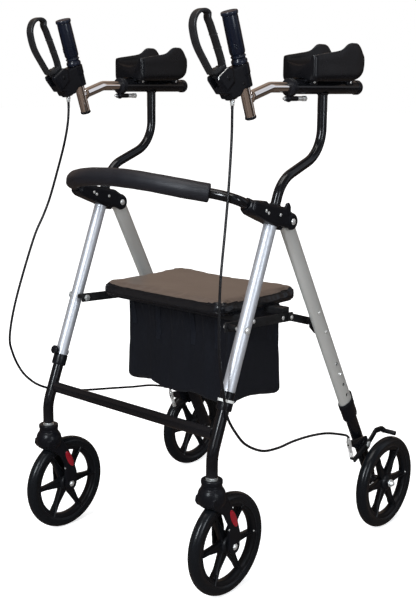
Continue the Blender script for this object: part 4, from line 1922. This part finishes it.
pair("lever_loop", toed(make_lever()), "brake_lever_{}", "grey-black lever", "brake_lever_{}", angle=45)
ridges = []
line = lever_line()
for index in (53, 60):
    way = (line[index + 1] - line[index - 1]).normalized()
    spot = line[index]
    ridge = rounded(box((-0.0083, -0.0032, -0.0007), (0.0083, 0.0032, 0.0007)), 0.0004, 1)
    bmesh.ops.transform(ridge, matrix=facing(spot, way), verts=ridge.verts)
    ridges.append(ridge)
boss = [dome(on_grip(0.0665, 0.0500, s * 0.0062), LEFT * s, 0.0075, 0.0016) for s in (-1, 1)]
pair("lever_ridges", toed(together(*ridges, *boss)), "brake_lever_{}", "grey-black lever")
print("handles made")


# %% [markdown]
# Some parts of the measured model are right as they are, such as the flat rails under the seat. They
# stay, and every node gets the finish of its material slot.

# %% Finishes for the measured parts
NODE_FINISH = {
    "silver_tube": "bright silver", "satin_tube": "satin silver", "black_metal": "satin black steel",
    "black_plastic": "black moulding", "tyre": "tyre rubber", "chrome": "chrome", "zinc": "bright zinc",
    "foam": "sleeve foam", "vinyl": "seat leathercloth", "bag_cloth": "bag cloth", "cable": "cable sheath",
}
for name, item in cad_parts.items():
    for spot in item.material_slots:
        slot_name = spot.material.name.split(".")[0]
        spot.material = FINISHES[NODE_FINISH.get(slot_name, "black moulding")][0]
print("nodes dressed:", len(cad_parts))

# %% [markdown]
# The photograph is a studio shot on white. The camera sees a white world and a white floor that keeps
# the soft shadow. Reflections see another room: pale in front, and brown behind and below, which is
# what colours the chrome and the top of the seat.

# %% Floor
ROOM_BROWN = (0.34, 0.26, 0.21, 1.0)
floor_mesh = bmesh.new()
bmesh.ops.create_grid(floor_mesh, x_segments=1, y_segments=1, size=30.0)
mesh = bpy.data.meshes.new("floor")
floor_mesh.to_mesh(mesh)
floor_mesh.free()
floor = bpy.data.objects.new("floor", mesh)
bpy.context.scene.collection.objects.link(floor)
paper = bpy.data.materials.new("white paper floor")
paper.use_nodes = True
tree = paper.node_tree
shader = tree.nodes["Principled BSDF"]
shader.inputs["Roughness"].default_value = 0.9
shader.inputs["Specular IOR Level"].default_value = 0.0
seen = node(tree, "ShaderNodeLightPath")
tone = node(
    tree, "ShaderNodeMix",
    {"Factor": seen.outputs["Is Glossy Ray"], 6: (0.86, 0.86, 0.86, 1.0), 7: (0.14, 0.105, 0.085, 1.0)},
    data_type="RGBA",
)
tree.links.new(tone.outputs[2], shader.inputs["Base Color"])
glow = node(tree, "ShaderNodeEmission", {"Color": (1.0, 1.0, 1.0, 1.0)})
spot = node(tree, "ShaderNodeTexCoord").outputs["Object"]
distance = node(tree, "ShaderNodeVectorMath", {0: spot}, operation="LENGTH")
reach = node(
    tree, "ShaderNodeMapRange",
    {
        "Value": distance.outputs["Value"], "From Min": 0.5, "From Max": 1.8, "To Min": 0.72,
        "To Max": 1.0,
    },
)
strength = node(
    tree, "ShaderNodeMath", {0: seen.outputs["Is Camera Ray"], 1: reach.outputs[0]},
    operation="MULTIPLY",
)
tree.links.new(strength.outputs[0], glow.inputs["Strength"])
both_shaders = node(tree, "ShaderNodeAddShader", {0: shader.outputs[0], 1: glow.outputs[0]})
tree.links.new(both_shaders.outputs[0], tree.nodes["Material Output"].inputs["Surface"])
mesh.materials.append(paper)

# %% World
world = bpy.data.worlds.new("white studio")
bpy.context.scene.world = world
world.use_nodes = True
tree = world.node_tree
background = tree.nodes["Background"]
seen = node(tree, "ShaderNodeLightPath")
way = node(tree, "ShaderNodeTexCoord").outputs["Generated"]
turn = node(tree, "ShaderNodeSeparateXYZ", {"Vector": way})
azimuth = node(tree, "ShaderNodeMath", {0: turn.outputs["Y"], 1: turn.outputs["X"]}, operation="ARCTAN2")
share = node(
    tree, "ShaderNodeMapRange", {"Value": azimuth.outputs[0], "From Min": -math.pi, "From Max": math.pi},
)
room = node(tree, "ShaderNodeValToRGB", {"Fac": share.outputs[0]})
DARK, PALE = (0.030, 0.028, 0.028, 1.0), (0.85, 0.90, 1.0, 1.0)
BANDS = [
    (0, ROOM_BROWN), (14, DARK), (40, ROOM_BROWN), (72, DARK), (84, PALE), (92, DARK),
    (118, ROOM_BROWN), (132, DARK),
    (150, PALE), (160, DARK), (186, ROOM_BROWN), (196, DARK), (226, PALE), (234, ROOM_BROWN), (262, DARK),
    (280, ROOM_BROWN), (350, ROOM_BROWN),
]
ramp = room.color_ramp
ramp.elements[0].color = ramp.elements[-1].color = ROOM_BROWN
for degrees, colour in BANDS[1:-1]:
    ramp.elements.new(degrees / 360).color = colour
mirrored = node(
    tree, "ShaderNodeMath", {0: seen.outputs["Is Glossy Ray"], 1: seen.outputs["Is Transmission Ray"]},
    operation="MAXIMUM"
)
around = node(
    tree, "ShaderNodeMix",
    {"Factor": mirrored.outputs[0], 6: (0.30, 0.30, 0.30, 1.0), 7: room.outputs["Color"]},
    data_type="RGBA",
)
sky = node(
    tree, "ShaderNodeMix",
    {"Factor": seen.outputs["Is Camera Ray"], 6: around.outputs[2], 7: (1.0, 1.0, 1.0, 1.0)},
    data_type="RGBA",
)
tree.links.new(sky.outputs[2], background.inputs["Color"])
background.inputs["Strength"].default_value = 1.0

# %% Lights
TARGET = Vector((0.0, 0.0, 0.55))


def softbox(name, place, size, watts, colour):
    lamp = bpy.data.lights.new(name, "AREA")
    lamp.shape, lamp.size, lamp.size_y = "RECTANGLE", size[0], size[1]
    lamp.energy, lamp.color = watts, colour
    item = bpy.data.objects.new(name, lamp)
    bpy.context.scene.collection.objects.link(item)
    item.location = place
    item.rotation_euler = (TARGET - Vector(place)).to_track_quat("-Z", "Y").to_euler()
    return item


softbox("key light", (0.7, -3.0, 2.0), (0.45, 1.5), 90.0, (0.88, 0.94, 1.0))
softbox("fill light", (3.4, -0.9, 1.3), (0.35, 1.6), 34.0, (0.86, 0.93, 1.0))
softbox("top light", (0.2, -0.7, 3.3), (2.2, 1.4), 45.0, (1.0, 0.98, 0.95))
